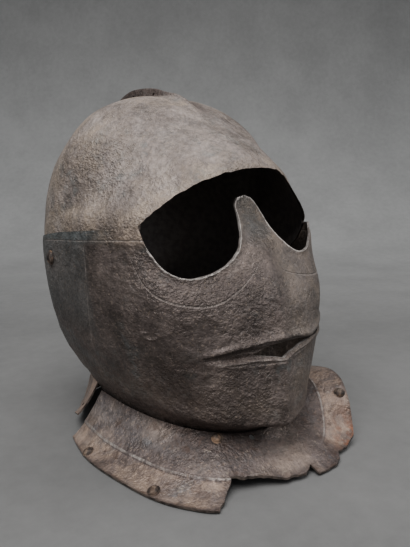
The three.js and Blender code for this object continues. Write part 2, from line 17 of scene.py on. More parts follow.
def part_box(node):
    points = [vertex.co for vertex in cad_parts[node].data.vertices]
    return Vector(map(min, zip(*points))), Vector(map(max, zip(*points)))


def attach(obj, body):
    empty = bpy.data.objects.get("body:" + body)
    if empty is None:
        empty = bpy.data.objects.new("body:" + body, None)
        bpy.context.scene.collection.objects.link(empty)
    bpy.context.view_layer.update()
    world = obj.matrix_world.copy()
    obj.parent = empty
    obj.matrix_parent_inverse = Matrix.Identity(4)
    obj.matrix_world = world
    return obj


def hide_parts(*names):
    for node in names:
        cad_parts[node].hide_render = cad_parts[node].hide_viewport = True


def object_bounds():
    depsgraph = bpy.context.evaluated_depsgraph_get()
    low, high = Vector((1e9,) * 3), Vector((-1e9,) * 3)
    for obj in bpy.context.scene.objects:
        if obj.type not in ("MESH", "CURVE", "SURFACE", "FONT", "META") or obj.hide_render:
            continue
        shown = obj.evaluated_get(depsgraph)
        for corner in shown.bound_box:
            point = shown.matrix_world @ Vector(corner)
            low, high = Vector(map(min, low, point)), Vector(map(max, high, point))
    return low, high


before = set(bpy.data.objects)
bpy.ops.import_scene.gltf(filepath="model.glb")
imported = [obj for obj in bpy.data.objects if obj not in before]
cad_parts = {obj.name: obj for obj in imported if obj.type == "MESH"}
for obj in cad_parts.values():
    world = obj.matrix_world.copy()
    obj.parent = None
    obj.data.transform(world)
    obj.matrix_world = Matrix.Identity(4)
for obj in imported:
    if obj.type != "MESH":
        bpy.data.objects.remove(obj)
cad_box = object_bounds()
bpy.ops.object.select_all(action="DESELECT")
# One millimetre. The tables below are in mm, or in shares of the sizes given here.
MM = 0.001
# The temple point, from which all the forms are measured.
TEMPLE = Vector((-1.033, 28.716, 198.569)) * MM
CENTRE = np.array(TEMPLE) / MM
FRONT_SIZES = {"half_width": 114.0, "reach": 174.3, "height": 215.2}
SKULL_SIZES = {"half_width": 109.2, "forward": 147.0, "rise": 110.0, "back": 124.0, "drop": 205.0}
# Where the temple point lies in the tables, from front to back and in height.
TEMPLE_DEPTH = 21.0
TEMPLE_HEIGHT = 198.0
print("frame:", sorted(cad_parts))


# %% [markdown]
# ## Reading a table of sections
# Hammered forms change slowly from one section to the next. A short table of sections, joined by
# smooth curves, gives such a form with few numbers, and every number can be seen on the piece.

# %% Smooth values from a table
def along(table, x):
    """Columns of a table at x, on smooth curves through its rows; x may be an array."""
    rows = np.array(table, float)
    x = np.clip(np.asarray(x, float), rows[0, 0], rows[-1, 0])
    last = len(rows) - 1
    i = np.clip(np.searchsorted(rows[:, 0], x, side="right") - 1, 0, last - 1)
    a, b = rows[i], rows[i + 1]
    before, after = rows[np.maximum(i - 1, 0)], rows[np.minimum(i + 2, last)]
    step = b[..., 0] - a[..., 0]
    t = (x - a[..., 0]) / step
    out = []
    for k in range(1, rows.shape[1]):
        slope_a = (b[..., k] - before[..., k]) / (b[..., 0] - before[..., 0]) * step
        slope_b = (after[..., k] - a[..., k]) / (after[..., 0] - a[..., 0]) * step
        t2, t3 = t * t, t * t * t
        out.append(
            (2 * t3 - 3 * t2 + 1) * a[..., k]
            + (t3 - 2 * t2 + t) * slope_a
            + (3 * t2 - 2 * t3) * b[..., k]
            + (t3 - t2) * slope_b
        )
    return out


def line_at(points, x):
    """Height of a broken line at x."""
    xs, ys = zip(*points)
    return np.interp(x, xs, ys)


def smooth_step(low, high, x):
    """Rises from 0 at the first value to 1 at the second, without corners."""
    t = np.clip((x - low) / (high - low), 0, 1)
    return t * t * (3 - 2 * t)


def bell(x, width):
    """Is 1 at the middle and fades away over the width."""
    return np.exp(-((x / width) ** 2))


def waves(points, size, depth, seed):
    """Gentle unevenness of hammered metal at each point (mm), features of the given size."""
    shift = Vector((seed * 7.31, seed * 3.17, seed * 1.93))
    return depth * np.array([noise.noise(Vector(p) / size + shift) for p in points])


half_step = along([[0, 0], [1, 2], [2, 3]], 0.5)[0]
print("a curve through 0, 2 and 3 reads, after half a step:", round(float(half_step), 3))

# %% [markdown]
# ## Helpers for sheet metal
# A primitive is added at its size, every vertex is taken to its place on the form, and the wall
# comes from a Solidify modifier. Cuts are made with a Boolean modifier whose cutter carries its own
# finish, so that the fresh edges get the look of rubbed metal by themselves.


# %% Sheet metal helpers
def only(obj):
    bpy.ops.object.select_all(action="DESELECT")
    obj.select_set(True)
    bpy.context.view_layer.objects.active = obj


def read_points(obj):
    co = np.empty(len(obj.data.vertices) * 3)
    obj.data.vertices.foreach_get("co", co)
    return co.reshape(-1, 3)


def write_points(obj, points):
    obj.data.vertices.foreach_set("co", np.asarray(points, float).ravel())
    obj.data.update()


def apply_modifier(obj, kind, name, **settings):
    only(obj)
    modifier = obj.modifiers.new(name, kind)
    for key, value in settings.items():
        setattr(modifier, key, value)
    bpy.ops.object.modifier_apply(modifier=modifier.name)


def sheet_grid(name, columns, rows):
    """A flat grid primitive, and the place of each vertex on it from 0 to 1 both ways."""
    bpy.ops.mesh.primitive_grid_add(x_subdivisions=columns, y_subdivisions=rows, size=1)
    obj = bpy.context.active_object
    obj.name = name
    flat = read_points(obj)
    return obj, flat[:, 0] + 0.5, flat[:, 1] + 0.5


def face_outwards(obj):
    only(obj)
    bpy.ops.object.mode_set(mode="EDIT")
    bpy.ops.mesh.select_all(action="SELECT")
    bpy.ops.mesh.remove_doubles(threshold=0.00001)
    bpy.ops.mesh.normals_make_consistent(inside=False)
    bpy.ops.object.mode_set(mode="OBJECT")


def cutter(name, outline, axis, low, high, finish):
    """A solid with an outline, pulled along an axis between two depths, in mm from the ground."""
    mesh = bpy.data.meshes.new(name)
    obj = bpy.data.objects.new(name, mesh)
    bpy.context.collection.objects.link(obj)
    bm = bmesh.new()
    place = {
        "X": lambda a, b: Vector((low, a, b)),
        "Y": lambda a, b: Vector((a, low, b)),
        "Z": lambda a, b: Vector((a, b, low)),
    }[axis]
    face = bm.faces.new([bm.verts.new(place(a, b) * MM) for a, b in outline])
    pull = {"X": Vector((1, 0, 0)), "Y": Vector((0, 1, 0)), "Z": Vector((0, 0, 1))}[axis]
    made = bmesh.ops.extrude_face_region(bm, geom=[face])["geom"]
    moved = [v for v in made if isinstance(v, bmesh.types.BMVert)]
    bmesh.ops.translate(bm, vec=pull * (high - low) * MM, verts=moved)
    bmesh.ops.recalc_face_normals(bm, faces=bm.faces)
    bm.to_mesh(mesh)
    bm.free()
    mesh.materials.append(finish)
    return obj


def cut(obj, tool, careful=False):
    """Takes the tool away from a piece; careful copes with sheets that nearly touch themselves."""
    modifier = obj.modifiers.new("cut", "BOOLEAN")
    modifier.object = tool
    modifier.operation = "DIFFERENCE"
    modifier.solver = "EXACT"
    modifier.material_mode = "TRANSFER"
    modifier.use_self = careful
    only(obj)
    bpy.ops.object.modifier_apply(modifier=modifier.name)
    print("cut with", tool.name, "leaves", len(obj.data.polygons), "faces")
    bpy.data.objects.remove(tool)


def smoothed(points, count):
    """More points on smooth curves through an outline's points, spaced along it."""
    points = np.array(points, float)
    steps = np.hypot(*np.diff(points, axis=0).T)
    place = np.concatenate([[0], np.cumsum(steps)])
    table = np.column_stack([place, points])
    return np.column_stack(along(table, np.linspace(0, place[-1], count)))


def ragged(points, depth, size, seed):
    """The same outline with the small unevenness of a filed or broken edge."""
    shift = seed * 11.7
    moves = []
    for a, b in points:
        to_side = noise.noise(Vector((a / size, b / size, shift)))
        upwards = noise.noise(Vector((b / size, a / size, -shift)))
        moves.append((to_side, upwards))
    return points + depth * np.array(moves)


def closed(line, *corners):
    """An outline from a drawn line and the far corners that close it."""
    return [*map(tuple, line), *corners]


def keep_value(obj, name, values):
    """Stores one number per vertex, for the finishes to read."""
    layer = obj.data.attributes.new(name, "FLOAT", "POINT")
    layer.data.foreach_set("value", np.asarray(values, float))


def kept_values(obj, name):
    """Reads such numbers again, after cuts have changed the points."""
    values = np.empty(len(obj.data.vertices))
    obj.data.attributes[name].data.foreach_get("value", values)
    return values


# How far a piece stays inside the stated box, in metres.
BOX_MARGIN = 0.00002


def finish_piece(obj, name, body, nodes, angle=40):
    """Keeps the piece inside the stated size, smooths it, names it, hides the parts it stands for and hangs
    it on its body.
    """
    low, high = (np.array(corner) for corner in cad_box)
    write_points(obj, np.clip(read_points(obj), low + BOX_MARGIN, high - BOX_MARGIN))
    only(obj)
    bpy.ops.object.shade_smooth_by_angle(angle=math.radians(angle))
    obj.name = name
    obj.data.name = name
    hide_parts(*nodes)
    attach(obj, body)
    print(name, "has", len(obj.data.polygons), "faces")


print("the helpers keep each piece", BOX_MARGIN / MM, "mm inside the stated box")


# %% [markdown]
# ## Finishes
# Old steel is never one colour. A thin brown skin lies over grey metal, cooler patches show where it
# was once blued, dust sits where it can settle, and edges are rubbed pale. Each finish therefore
# mixes layers of noise at different sizes, from the palm of a hand down to single pits, and bends
# the light with the same pits, so that colour and relief agree.


# %% Node helpers
class Finish:
    """A node material that is built up layer by layer, from the bare metal to the dust."""

    def __init__(self, name):
        self.material = bpy.data.materials.new(name)
        self.material.use_nodes = True
        self.tree = self.material.node_tree
        self.shader = self.tree.nodes["Principled BSDF"]
        self.place = self.node("ShaderNodeTexCoord").outputs["Object"]

    def node(self, kind, **settings):
        made = self.tree.nodes.new(kind)
        for key, value in settings.items():
            setattr(made, key, value)
        return made

    def join(self, value, socket):
        if isinstance(value, bpy.types.NodeSocket):
            self.tree.links.new(value, socket)
        else:
            socket.default_value = value

    def grain(self, scale, detail=4.0, roughness=0.55, distortion=0.0,
              stretch=(1, 1, 1), offset=(0, 0, 0)):
        """Cloudy noise from about 0.3 to 0.7; the scale is in clouds to the metre."""
        mapping = self.node("ShaderNodeMapping")
        mapping.inputs["Scale"].default_value = stretch
        mapping.inputs["Location"].default_value = offset
        self.join(self.place, mapping.inputs["Vector"])
        made = self.node("ShaderNodeTexNoise")
        self.join(mapping.outputs["Vector"], made.inputs["Vector"])
        made.inputs["Scale"].default_value = scale
        made.inputs["Detail"].default_value = detail
        made.inputs["Roughness"].default_value = roughness
        made.inputs["Distortion"].default_value = distortion
        return made.outputs["Fac"]

    def between(self, value, low, high, out_low=0.0, out_high=1.0):
        """A soft step from one result to the other, between two values."""
        made = self.node("ShaderNodeMapRange", interpolation_type="SMOOTHSTEP")
        self.join(value, made.inputs["Value"])
        made.inputs["From Min"].default_value = low
        made.inputs["From Max"].default_value = high
        made.inputs["To Min"].default_value = out_low
        made.inputs["To Max"].default_value = out_high
        return made.outputs["Result"]

    def math(self, operation, a, b=0.0, clamp=False):
        made = self.node("ShaderNodeMath", operation=operation, use_clamp=clamp)
        self.join(a, made.inputs[0])
        self.join(b, made.inputs[1])
        return made.outputs[0]

    def mix(self, amount, a, b, blend="MIX"):
        """Two colours mixed; sockets 0, 6 and 7 of the node are the amount and its colours."""
        made = self.node("ShaderNodeMix", data_type="RGBA", blend_type=blend)
        self.join(amount, made.inputs[0])
        for value, socket in ((a, made.inputs[6]), (b, made.inputs[7])):
            self.join((*value, 1.0) if isinstance(value, tuple) else value, socket)
        return made.outputs[2]

    def ramp(self, value, stops):
        made = self.node("ShaderNodeValToRGB")
        self.join(value, made.inputs["Fac"])
        elements = made.color_ramp.elements
        while len(elements) < len(stops):
            elements.new(0.5)
        for element, (position, colour) in zip(elements, stops):
            element.position = position
            element.color = (*colour, 1.0)
        return made.outputs["Color"]

    def stored(self, name):
        return self.node("ShaderNodeAttribute", attribute_name=name).outputs["Fac"]

    def axis(self, name):
        split = self.node("ShaderNodeSeparateXYZ")
        self.join(self.place, split.inputs[0])
        return split.outputs[name]

    def curve(self, value, points):
        """Height of a drawn line over a value, both in metres."""
        xs = [p[0] for p in points]
        ys = [p[1] for p in points]
        made = self.node("ShaderNodeFloatCurve")
        line = made.mapping.curves[0]
        while len(line.points) < len(points):
            line.points.new(0.5, 0.5)
        for point, (x, y) in zip(line.points, points):
            point.location = ((x - xs[0]) / (xs[-1] - xs[0]), (y - min(ys)) / (max(ys) - min(ys)))
        made.mapping.update()
        self.join(self.between_straight(value, xs[0], xs[-1]), made.inputs["Value"])
        return self.math("ADD", self.math("MULTIPLY", made.outputs[0], max(ys) - min(ys)), min(ys))

    def between_straight(self, value, low, high):
        made = self.node("ShaderNodeMapRange")
        self.join(value, made.inputs["Value"])
        made.inputs["From Min"].default_value = low
        made.inputs["From Max"].default_value = high
        return made.outputs["Result"]

    def bump(self, height, strength, distance, under=None):
        made = self.node("ShaderNodeBump")
        made.inputs["Strength"].default_value = strength
        made.inputs["Distance"].default_value = distance
        self.join(height, made.inputs["Height"])
        if under is not None:
            self.join(under, made.inputs["Normal"])
        return made.outputs["Normal"]

    def close(self, colour, metal, roughness, normal):
        self.join(colour, self.shader.inputs["Base Color"])
        self.shader.inputs["Metallic"].default_value = metal
        self.join(roughness, self.shader.inputs["Roughness"])
        self.join(normal, self.shader.inputs["Normal"])
        return self.material


# %% [markdown]
# ### The common skin of brown steel
# Skull, face plate and gorget come from the same workshop, so one recipe serves them all. It takes
# three tones for the large clouds, a cool tone for worn blueing, a dust colour, and how fine and
# deep the pits are. The face plate gets the darkest tones, and the gorget the widest range of them.


# %% Brown steel
# Dark tones that the stored shade mixes in: painted shade where a piece stores it, and the dark iron of the
# comb and of worn or broken edges.
SHADE_AND_DARK_IRON = (0.035, 0.024, 0.021)
RED_SHADE_AND_DARK_IRON = (0.075, 0.05, 0.042)


def greys(*stops):
    """Stops of a ramp of plain greys, which darken or brighten what they are multiplied with."""
    return [(position, (grey,) * 3) for position, grey in stops]


def brown_steel(name, tones, cool, dust, pits, pit_depth, dusty, rough, grainy):
    """The finish, and its colour, roughness and relief, still open for what a piece adds to them."""
    f = Finish(name)
    clouds = f.grain(24, 5, 0.55, 0.3)
    dark, middle, light = tones
    colour = f.ramp(clouds, [(0.3, dark), (0.5, middle), (0.7, light)])
    patches = f.grain(13, 4, 0.6, 0.6, offset=(0.3, 0.7, 0.1))
    spots = f.between(f.grain(75, 4, 0.65, 0.4, offset=(0.1, 0.9, 0.4)), 0.5, 0.66, 0.0, 0.6)
    spots = f.math("MULTIPLY", spots, f.between(patches, 0.4, 0.6))
    cold = f.math("MAXIMUM", spots, f.between(patches, 0.56, 0.7, 0.0, 0.45))
    blued = f.math("MULTIPLY", f.stored("cool"), f.between(patches, 0.3, 0.6, 0.55, 1.0))
    cold = f.math("MAXIMUM", cold, blued)
    colour = f.mix(cold, colour, cool)
    blotches = f.grain(70, 5, 0.6, 0.4)
    colour = f.mix(1.0, colour, f.ramp(blotches, greys((0.3, 0.64), (0.5, 1.0), (0.72, 1.34))), "MULTIPLY")
    fine = f.grain(pits, 3, 0.6, 0.15)
    pitted = f.ramp(fine, greys((0.32, 1 - grainy), (0.5, 1.0), (0.68, 1 + grainy)))
    colour = f.mix(1.0, colour, pitted, "MULTIPLY")
    grit = f.math("MULTIPLY", f.between(f.grain(520, 2, 0.5, offset=(0.7, 0.3, 0.2)), 0.6, 0.68), 0.4)
    colour = f.mix(grit, colour, dust)
    dust_and_shade_clouds = f.grain(45, 5, 0.65, 0.5, offset=(0.9, 0.2, 0.5))
    amount = f.math("MULTIPLY", f.stored("dust"), f.between(dust_and_shade_clouds, 0.36, 0.62, 0.25, 1.0))
    speckle = f.grain(260, 3, 0.6)
    amount = f.math("MULTIPLY", amount, f.between(speckle, 0.35, 0.6, 0.45, dusty), clamp=True)
    colour = f.mix(amount, colour, dust)
    # The stored shade darkens the colour towards these tones: painted shade, and dark iron where the metal
    # is so.
    shade = f.math("MULTIPLY", f.stored("shade"), f.between(dust_and_shade_clouds, 0.3, 0.7, 0.75, 1.0), clamp=True)
    colour = f.mix(shade, colour, f.mix(f.between(speckle, 0.4, 0.62), SHADE_AND_DARK_IRON, RED_SHADE_AND_DARK_IRON))
    height = f.math("ADD", fine, f.math("MULTIPLY", f.grain(pits * 2.3, 2), 0.4))
    rough_areas = f.between(f.grain(19, 3, 0.6, 0.5, offset=(0.5, 0.1, 0.8)), 0.36, 0.62, 0.4, 1.0)
    height = f.math("MULTIPLY", height, rough_areas)
    normal = f.bump(height, 1.0, pit_depth)
    normal = f.bump(blotches, 0.6, 0.0009, normal)
    return f, colour, f.between(blotches, 0.35, 0.65, *rough), normal


def edge_steel(name, tone, pale):
    """Plain filed or rubbed metal for cut edges and for the inside."""
    f = Finish(name)
    worn = f.grain(160, 4, 0.6)
    colour = f.mix(f.between(worn, 0.35, 0.65), tone, pale)
    return f.close(colour, 0.55, 0.42, f.bump(f.grain(900, 2), 0.4, 0.0003))


SKULL_METAL = 0.45
skull_finish, skull_colour, skull_rough, skull_normal = brown_steel(
    "skull_steel",
    tones=((0.1, 0.082, 0.075), (0.195, 0.163, 0.15), (0.31, 0.265, 0.243)),
    cool=(0.15, 0.162, 0.16), dust=(0.36, 0.28, 0.215),
    pits=270, pit_depth=0.0028, dusty=0.8, rough=(0.5, 0.72), grainy=0.34)
skull_steel = skull_finish.close(skull_colour, SKULL_METAL, skull_rough, skull_normal)
rubbed_edge = edge_steel("rubbed_edge", (0.2, 0.17, 0.155), (0.5, 0.46, 0.43))
inside_steel = edge_steel("inside_steel", (0.24, 0.21, 0.2), (0.36, 0.32, 0.3))
dark_edge = edge_steel("dark_edge", (0.05, 0.038, 0.033), (0.16, 0.125, 0.105))
print("finishes:", len(bpy.data.materials))

# %% [markdown]
# ## The skull
# The skull was raised from two halves. A sphere with its poles at the temples has rings that run as
# the hammer rows do, so its vertices are taken ring by ring to the side outline of the skull. The
# comb is not a separate bar: the metal of both halves rises into it with a hollow flank, so it is
# part of the same surface, and the rings are set close together near the middle to carry it.

# %% Skull form
# Degrees round the temples from straight ahead, share of the reach, fullness of the section there.
SKULL = [
    [-90, 1.0, 2.0], [-60, 1.0, 2.1], [-30, 0.98, 2.4], [-8, 0.985, 2.55], [0, 0.992, 2.43],
    [8, 1.009, 1.99], [12, 1.02, 1.81], [15.4, 1.03, 1.72], [22, 0.975, 1.76], [30, 0.918, 1.88],
    [40, 0.885, 2.05], [50, 0.885, 2.3], [62, 0.928, 2.42], [75, 0.975, 2.42], [90, 0.995, 2.28],
    [104, 1.03, 2.0], [118, 1.085, 1.82], [135, 1.12, 1.76], [155, 1.065, 1.82], [180, 1.0, 1.95],
    [200, 1.005, 2.1], [213, 1.015, 2.1], [231, 0.952, 2.1], [240, 0.93, 2.05], [250, 0.955, 2.0],
    [270, 1.0, 2.0],
]
COMB_HEIGHT = 19.4
# Degrees round the temples, share of the comb's full height.
COMB = [
    [44, 0.0], [50, 0.02], [60, 0.09], [70, 0.16], [86, 0.31], [96, 0.55], [104, 0.7], [112, 0.82],
    [124, 0.97], [134, 1.0], [146, 0.9], [158, 0.6], [168, 0.3], [178, 0.05], [184, 0.0],
]
# Half section of the comb: distance from the seam in mm, share of the height.
COMB_SECTION = [
    [0, 1.0], [1.3, 0.995], [2.0, 0.93], [2.4, 0.72], [3.0, 0.46], [4, 0.24], [5.5, 0.09], [8, 0.01],
    [11, 0],
]
# The metal beside the comb was drawn up into it, which leaves a shallow hollow there: its share of
# the comb's height, and its place and spread beside the seam in mm.
COMB_HOLLOW, HOLLOW_PLACE, HOLLOW_SPREAD = 0.13, 12, 7
SKULL_WALL = 1.9
# Points round the ball, its rings from side to side, and the rings that carry the comb (mm).
SEGMENTS, RINGS = 240, 84
CLOSE_RINGS = np.array([0, 0.7, 1.3, 1.7, 2.1, 2.5, 3.0, 3.7, 4.6, 5.8, 7.4, 9.6, 12.5])


def round_temples(y, z):
    """Turn round the temples in degrees, from -90 under them over the brow to 270."""
    return (np.degrees(np.arctan2(z, -y)) + 90) % 360 - 90


def skull_surface(degrees, x, inset=0.0, with_comb=False):
    """Points of the skull (mm from the temple point) at a turn round the temples and a distance x aside."""
    share, fullness = along(SKULL, degrees)
    turn = np.radians(degrees)
    level, upright = np.cos(turn), np.sin(turn)
    s = SKULL_SIZES
    reach = share / np.hypot(level / np.where(level > 0, s["forward"], s["back"]),
                             upright / np.where(upright > 0, s["rise"], s["drop"])) - inset
    half = s["half_width"] - inset
    r = reach * np.maximum(1 - (np.abs(x) / half) ** fullness, 0) ** (1 / fullness)
    height = np.maximum(along(COMB, degrees)[0], 0) * COMB_HEIGHT
    height = np.where((degrees > COMB[0][0]) & (degrees < COMB[-1][0]), height, 0)
    r = r - COMB_HOLLOW * height * bell(np.abs(x) - HOLLOW_PLACE, HOLLOW_SPREAD)
    if with_comb:
        r = r + height * line_at(COMB_SECTION, np.abs(x))
    return np.column_stack([x, -r * level, r * upright])


def skull_ball(name, inset, with_comb):
    """A sphere whose rings are taken to the form of the skull, from one temple to the other."""
    bpy.ops.mesh.primitive_uv_sphere_add(segments=SEGMENTS, ring_count=RINGS, radius=1)
    ball = bpy.context.active_object
    ball.name = name
    unit = read_points(ball)
    degrees = round_temples(-unit[:, 0], unit[:, 1])
    row = np.round((np.pi / 2 - np.arccos(np.clip(unit[:, 2], -1, 1))) / np.pi * RINGS)
    last = CLOSE_RINGS[-1]
    quarter = np.linspace(0, np.pi / 2, RINGS // 2 - len(CLOSE_RINGS) + 2)
    outer = last + (SKULL_SIZES["half_width"] - inset - last) * np.sin(quarter)
    sides = np.concatenate([CLOSE_RINGS, outer[1:]])
    x = np.sign(row) * sides[np.abs(row).astype(int)]
    points = skull_surface(degrees, x, inset, with_comb)
    write_points(ball, (points + CENTRE) * MM)
    face_outwards(ball)
    return ball


skull = skull_ball("skull", 0.0, True)
skull.data.materials.append(skull_steel)
points = read_points(skull) / MM
away = points - CENTRE
away /= np.linalg.norm(away, axis=1)[:, None]
dents = waves(points, 42, 0.8, 1) + waves(points, 17, 0.35, 2) + waves(points, 7, 0.12, 3)
write_points(skull, (points + away * dents[:, None]) * MM)
print("skull outline (mm):", np.round(points.min(0), 1), np.round(points.max(0), 1))

# %% [markdown]
# ### Hollow, brow, cheeks and neck
# The inside is the same form drawn in by the wall. The brow is cut from the front along its arch,
# the cheeks from the side, where the face plate covers them, and the neck straight across. The
# brow edge is thin, dark and slightly torn, with a few small nicks beside its middle. Two small
# holes go through the comb, perhaps for a plume.

# %% Skull cuts
# From a place in the tables to the same place in the scene, in mm.
OFF = CENTRE - np.array([0, TEMPLE_DEPTH, TEMPLE_HEIGHT])
# Shares of the half width and of the temple height, seen from the front.
BROW = [
    [-0.8, 0.962], [-0.791, 0.974], [-0.725, 1.02], [-0.598, 1.078], [-0.472, 1.123], [-0.317, 1.16],
    [-0.188, 1.181], [-0.045, 1.195], [0.103, 1.194], [0.228, 1.183], [0.32, 1.163], [0.43, 1.135],
    [0.56, 1.09], [0.68, 1.035], [0.76, 0.985], [0.8, 0.962],
]
# Shares of the forward reach and of the temple height, seen from the side.
CHEEK = [[-0.714, 0.962], [-0.62, 0.889], [-0.449, 0.808], [-0.333, 0.707], [-0.293, 0.556], [-0.28, 0.15]]
# Place across, width and depth of the nicks in the brow (mm).
NICKS = [(21, 5, 1.2), (33, 2.0, 1.6), (50, 1.6, 1.8), (-30, 3, 0.8)]
# Degrees round the temples, and share of the comb's height there.
COMB_HOLES = [(94.5, 0.44), (112.7, 0.5)]
COMB_HOLE_RADIUS, COMB_DRILL_LENGTH = 1.6, 40
NECK_HEIGHT = 38
# Beyond the helmet on every side, for the outer corners of the cutters.
FAR = 400
half, ahead = SKULL_SIZES["half_width"], SKULL_SIZES["forward"]
arch = smoothed([[x * half + OFF[0], z * TEMPLE_HEIGHT + OFF[2]] for x, z in BROW], 110)
arch = ragged(arch, 0.8, 5.0, 1)
for x, width, depth in NICKS:
    arch[:, 1] += depth * bell(arch[:, 0] - x, width)
low = arch[0][1]
brow_outline = closed(arch, (FAR, low), (FAR, -FAR), (-FAR, -FAR), (-FAR, low))
cheek = [(TEMPLE_DEPTH + y * ahead + OFF[1], z * TEMPLE_HEIGHT + OFF[2]) for y, z in CHEEK]
cheek_outline = closed(cheek, (cheek[-1][0], -FAR), (-FAR, -FAR), (-FAR, cheek[0][1]))
neck_outline = closed([(-FAR, -FAR), (FAR, -FAR)], (FAR, FAR), (-FAR, FAR))
hollow = skull_ball("hollow", SKULL_WALL, False)
hollow.data.materials.append(inside_steel)
cut(skull, hollow)
cut(skull, cutter("brow", brow_outline, "Y", -FAR, cheek[0][0], dark_edge))
cut(skull, cutter("cheeks", cheek_outline, "X", -FAR, FAR, dark_edge))
cut(skull, cutter("neck", neck_outline, "Z", -FAR, NECK_HEIGHT + OFF[2], dark_edge))
for degrees, share in COMB_HOLES:
    base = skull_surface(np.array([degrees]), np.array([0.0]))[0]
    rise = share * COMB_HEIGHT * float(along(COMB, degrees)[0])
    at = CENTRE + base * (1 + rise / np.linalg.norm(base))
    bpy.ops.mesh.primitive_cylinder_add(vertices=20, radius=COMB_HOLE_RADIUS * MM,
                                        depth=COMB_DRILL_LENGTH * MM, location=Vector(at) * MM,
                                        rotation=(0, math.pi / 2, 0))
    drill = bpy.context.active_object
    bpy.ops.object.transform_apply(location=True, rotation=True, scale=True)
    drill.data.materials.append(dark_edge)
    cut(skull, drill)
print("skull faces:", len(skull.data.polygons))

# %% [markdown]
# ### Two halves and their dust
# The shell is split down the middle by a plane on each side of the seam. Dust lies above the brow
# and at the temples, the top of the comb is darker, red-brown iron, and painted shade lies on the
# comb's far flank near its front. All are stored as numbers on the vertices, which the finish reads.


# %% Skull halves
HALF_SEAM = 0.18


def split_half(whole, name, side, node):
    """One half of the skull, on the given side of the seam, with its own dust and dark comb."""
    only(whole)
    bpy.ops.object.duplicate()
    part = bpy.context.active_object
    bpy.ops.object.mode_set(mode="EDIT")
    bpy.ops.mesh.select_all(action="SELECT")
    plane = Vector((TEMPLE.x + side * HALF_SEAM * MM, 0, 0))
    bpy.ops.mesh.bisect(plane_co=plane, plane_no=(side, 0, 0), use_fill=True,
                        clear_inner=True, clear_outer=False)
    bpy.ops.object.mode_set(mode="OBJECT")
    at = read_points(part) / MM
    level = at - CENTRE
    degrees = round_temples(level[:, 1], level[:, 2])
    flat = skull_surface(degrees, np.abs(level[:, 0]))
    above = np.hypot(level[:, 1], level[:, 2]) - np.hypot(flat[:, 1], flat[:, 2])
    high = smooth_step(1.3, 3.2, above) * smooth_step(70, 90, degrees) * smooth_step(176, 160, degrees)
    # Painted shade on the comb's far flank, near its front end.
    far_flank_shade = 0.75 * bell(level[:, 0] - 10, 8) * bell(degrees - 66, 13) * (side > 0)
    foot = bell(above - 0.8, 0.7) * (degrees > 62) * (degrees < 176)
    brow_band = bell(at[:, 2] - np.interp(at[:, 0], arch[:, 0], arch[:, 1]) - 3, 9) * (level[:, 1] < -60)
    temple_band = bell(at[:, 2] - 194, 9) * (level[:, 1] > -95) * (level[:, 1] < 40)
    sides = smooth_step(60, 95, np.abs(level[:, 0]))
    dusty = 0.28 + 0.6 * brow_band + 1.3 * temple_band + 0.9 * foot + 0.35 * sides
    keep_value(part, "dust", np.clip(dusty, 0, 1))
    keep_value(part, "shade", np.clip(0.9 * high + far_flank_shade, 0, 1))
    finish_piece(part, name, "helmet", [node])


split_half(skull, "skull_right_plate", -1, "skull_right")
split_half(skull, "skull_left_plate", 1, "skull_left")
bpy.data.objects.remove(skull)

# %% [markdown]
# ## The face plate
# The plate wraps the face from temple to temple. A grid is laid on it: across, it follows a full
# oval section with a sharp keel in front, and upwards it follows the profile of throat, jaw, mouth
# and nasal. The lips, the creases beside the mouth and a small dent are beaten into the same grid,
# because in thin metal they show on both sides.

# %% Face plate form
# Shares of the height in front and at the rear, of the half width and of the reach, then fullness
# of the oval section and share of the keel, from the throat up to the top edge.
FACE = [
    [0.112, 0.165, 0.615, 0.815, 2.4, 0.5], [0.153, 0.2, 0.65, 0.86, 2.4, 0.7],
    [0.19, 0.262, 0.71, 0.958, 2.3, 0.95], [0.207, 0.279, 0.735, 1.0, 2.3, 1.0],
    [0.232, 0.3, 0.76, 1.0, 2.35, 1.0], [0.29, 0.335, 0.8, 0.995, 2.4, 1.0],
    [0.353, 0.375, 0.845, 0.987, 2.55, 1.0], [0.44, 0.442, 0.895, 0.977, 2.7, 0.95],
    [0.468, 0.469, 0.907, 0.982, 2.7, 0.95], [0.497, 0.497, 0.92, 0.973, 2.75, 0.95],
    [0.54, 0.54, 0.94, 0.96, 2.82, 0.95], [0.604, 0.604, 0.962, 0.951, 2.88, 0.95],
    [0.669, 0.669, 0.98, 0.929, 2.88, 0.95], [0.734, 0.734, 0.992, 0.888, 2.85, 0.9],
    [0.799, 0.799, 0.998, 0.842, 3.0, 0.85], [0.864, 0.864, 1.0, 0.79, 3.35, 0.8],
    [0.929, 0.929, 0.998, 0.735, 3.4, 0.75], [1.003, 1.003, 0.99, 0.694, 3.4, 0.7],
]
# Shares of the half width and of the height, seen from the front, for both eyes.
RIGHT_EYE = [
    [-0.773, 0.894], [-0.768, 0.861], [-0.743, 0.82], [-0.696, 0.769], [-0.63, 0.737], [-0.553, 0.726],
    [-0.458, 0.735], [-0.343, 0.757], [-0.256, 0.785], [-0.2, 0.806], [-0.154, 0.836], [-0.111, 0.88],
    [-0.086, 0.928], [-0.087, 0.966], [-0.052, 0.993], [-0.008, 1.001],
]
LEFT_EYE = [
    [0.03, 1.001], [0.075, 0.992], [0.108, 0.972], [0.138, 0.936], [0.163, 0.894], [0.205, 0.858],
    [0.251, 0.832], [0.306, 0.808], [0.38, 0.793], [0.458, 0.791], [0.53, 0.797], [0.592, 0.812],
    [0.652, 0.84], [0.705, 0.872], [0.773, 0.894],
]
KEEL_DEPTH, KEEL_SPREAD = 8.0, 70.0
# How fast the sides draw in behind the temples, how far back they go, and the grid's share for it.
BACK_ROUND, REAR = 126.0, 27.0
REAR_SHARE = 0.12
MASK_WALL = 1.8


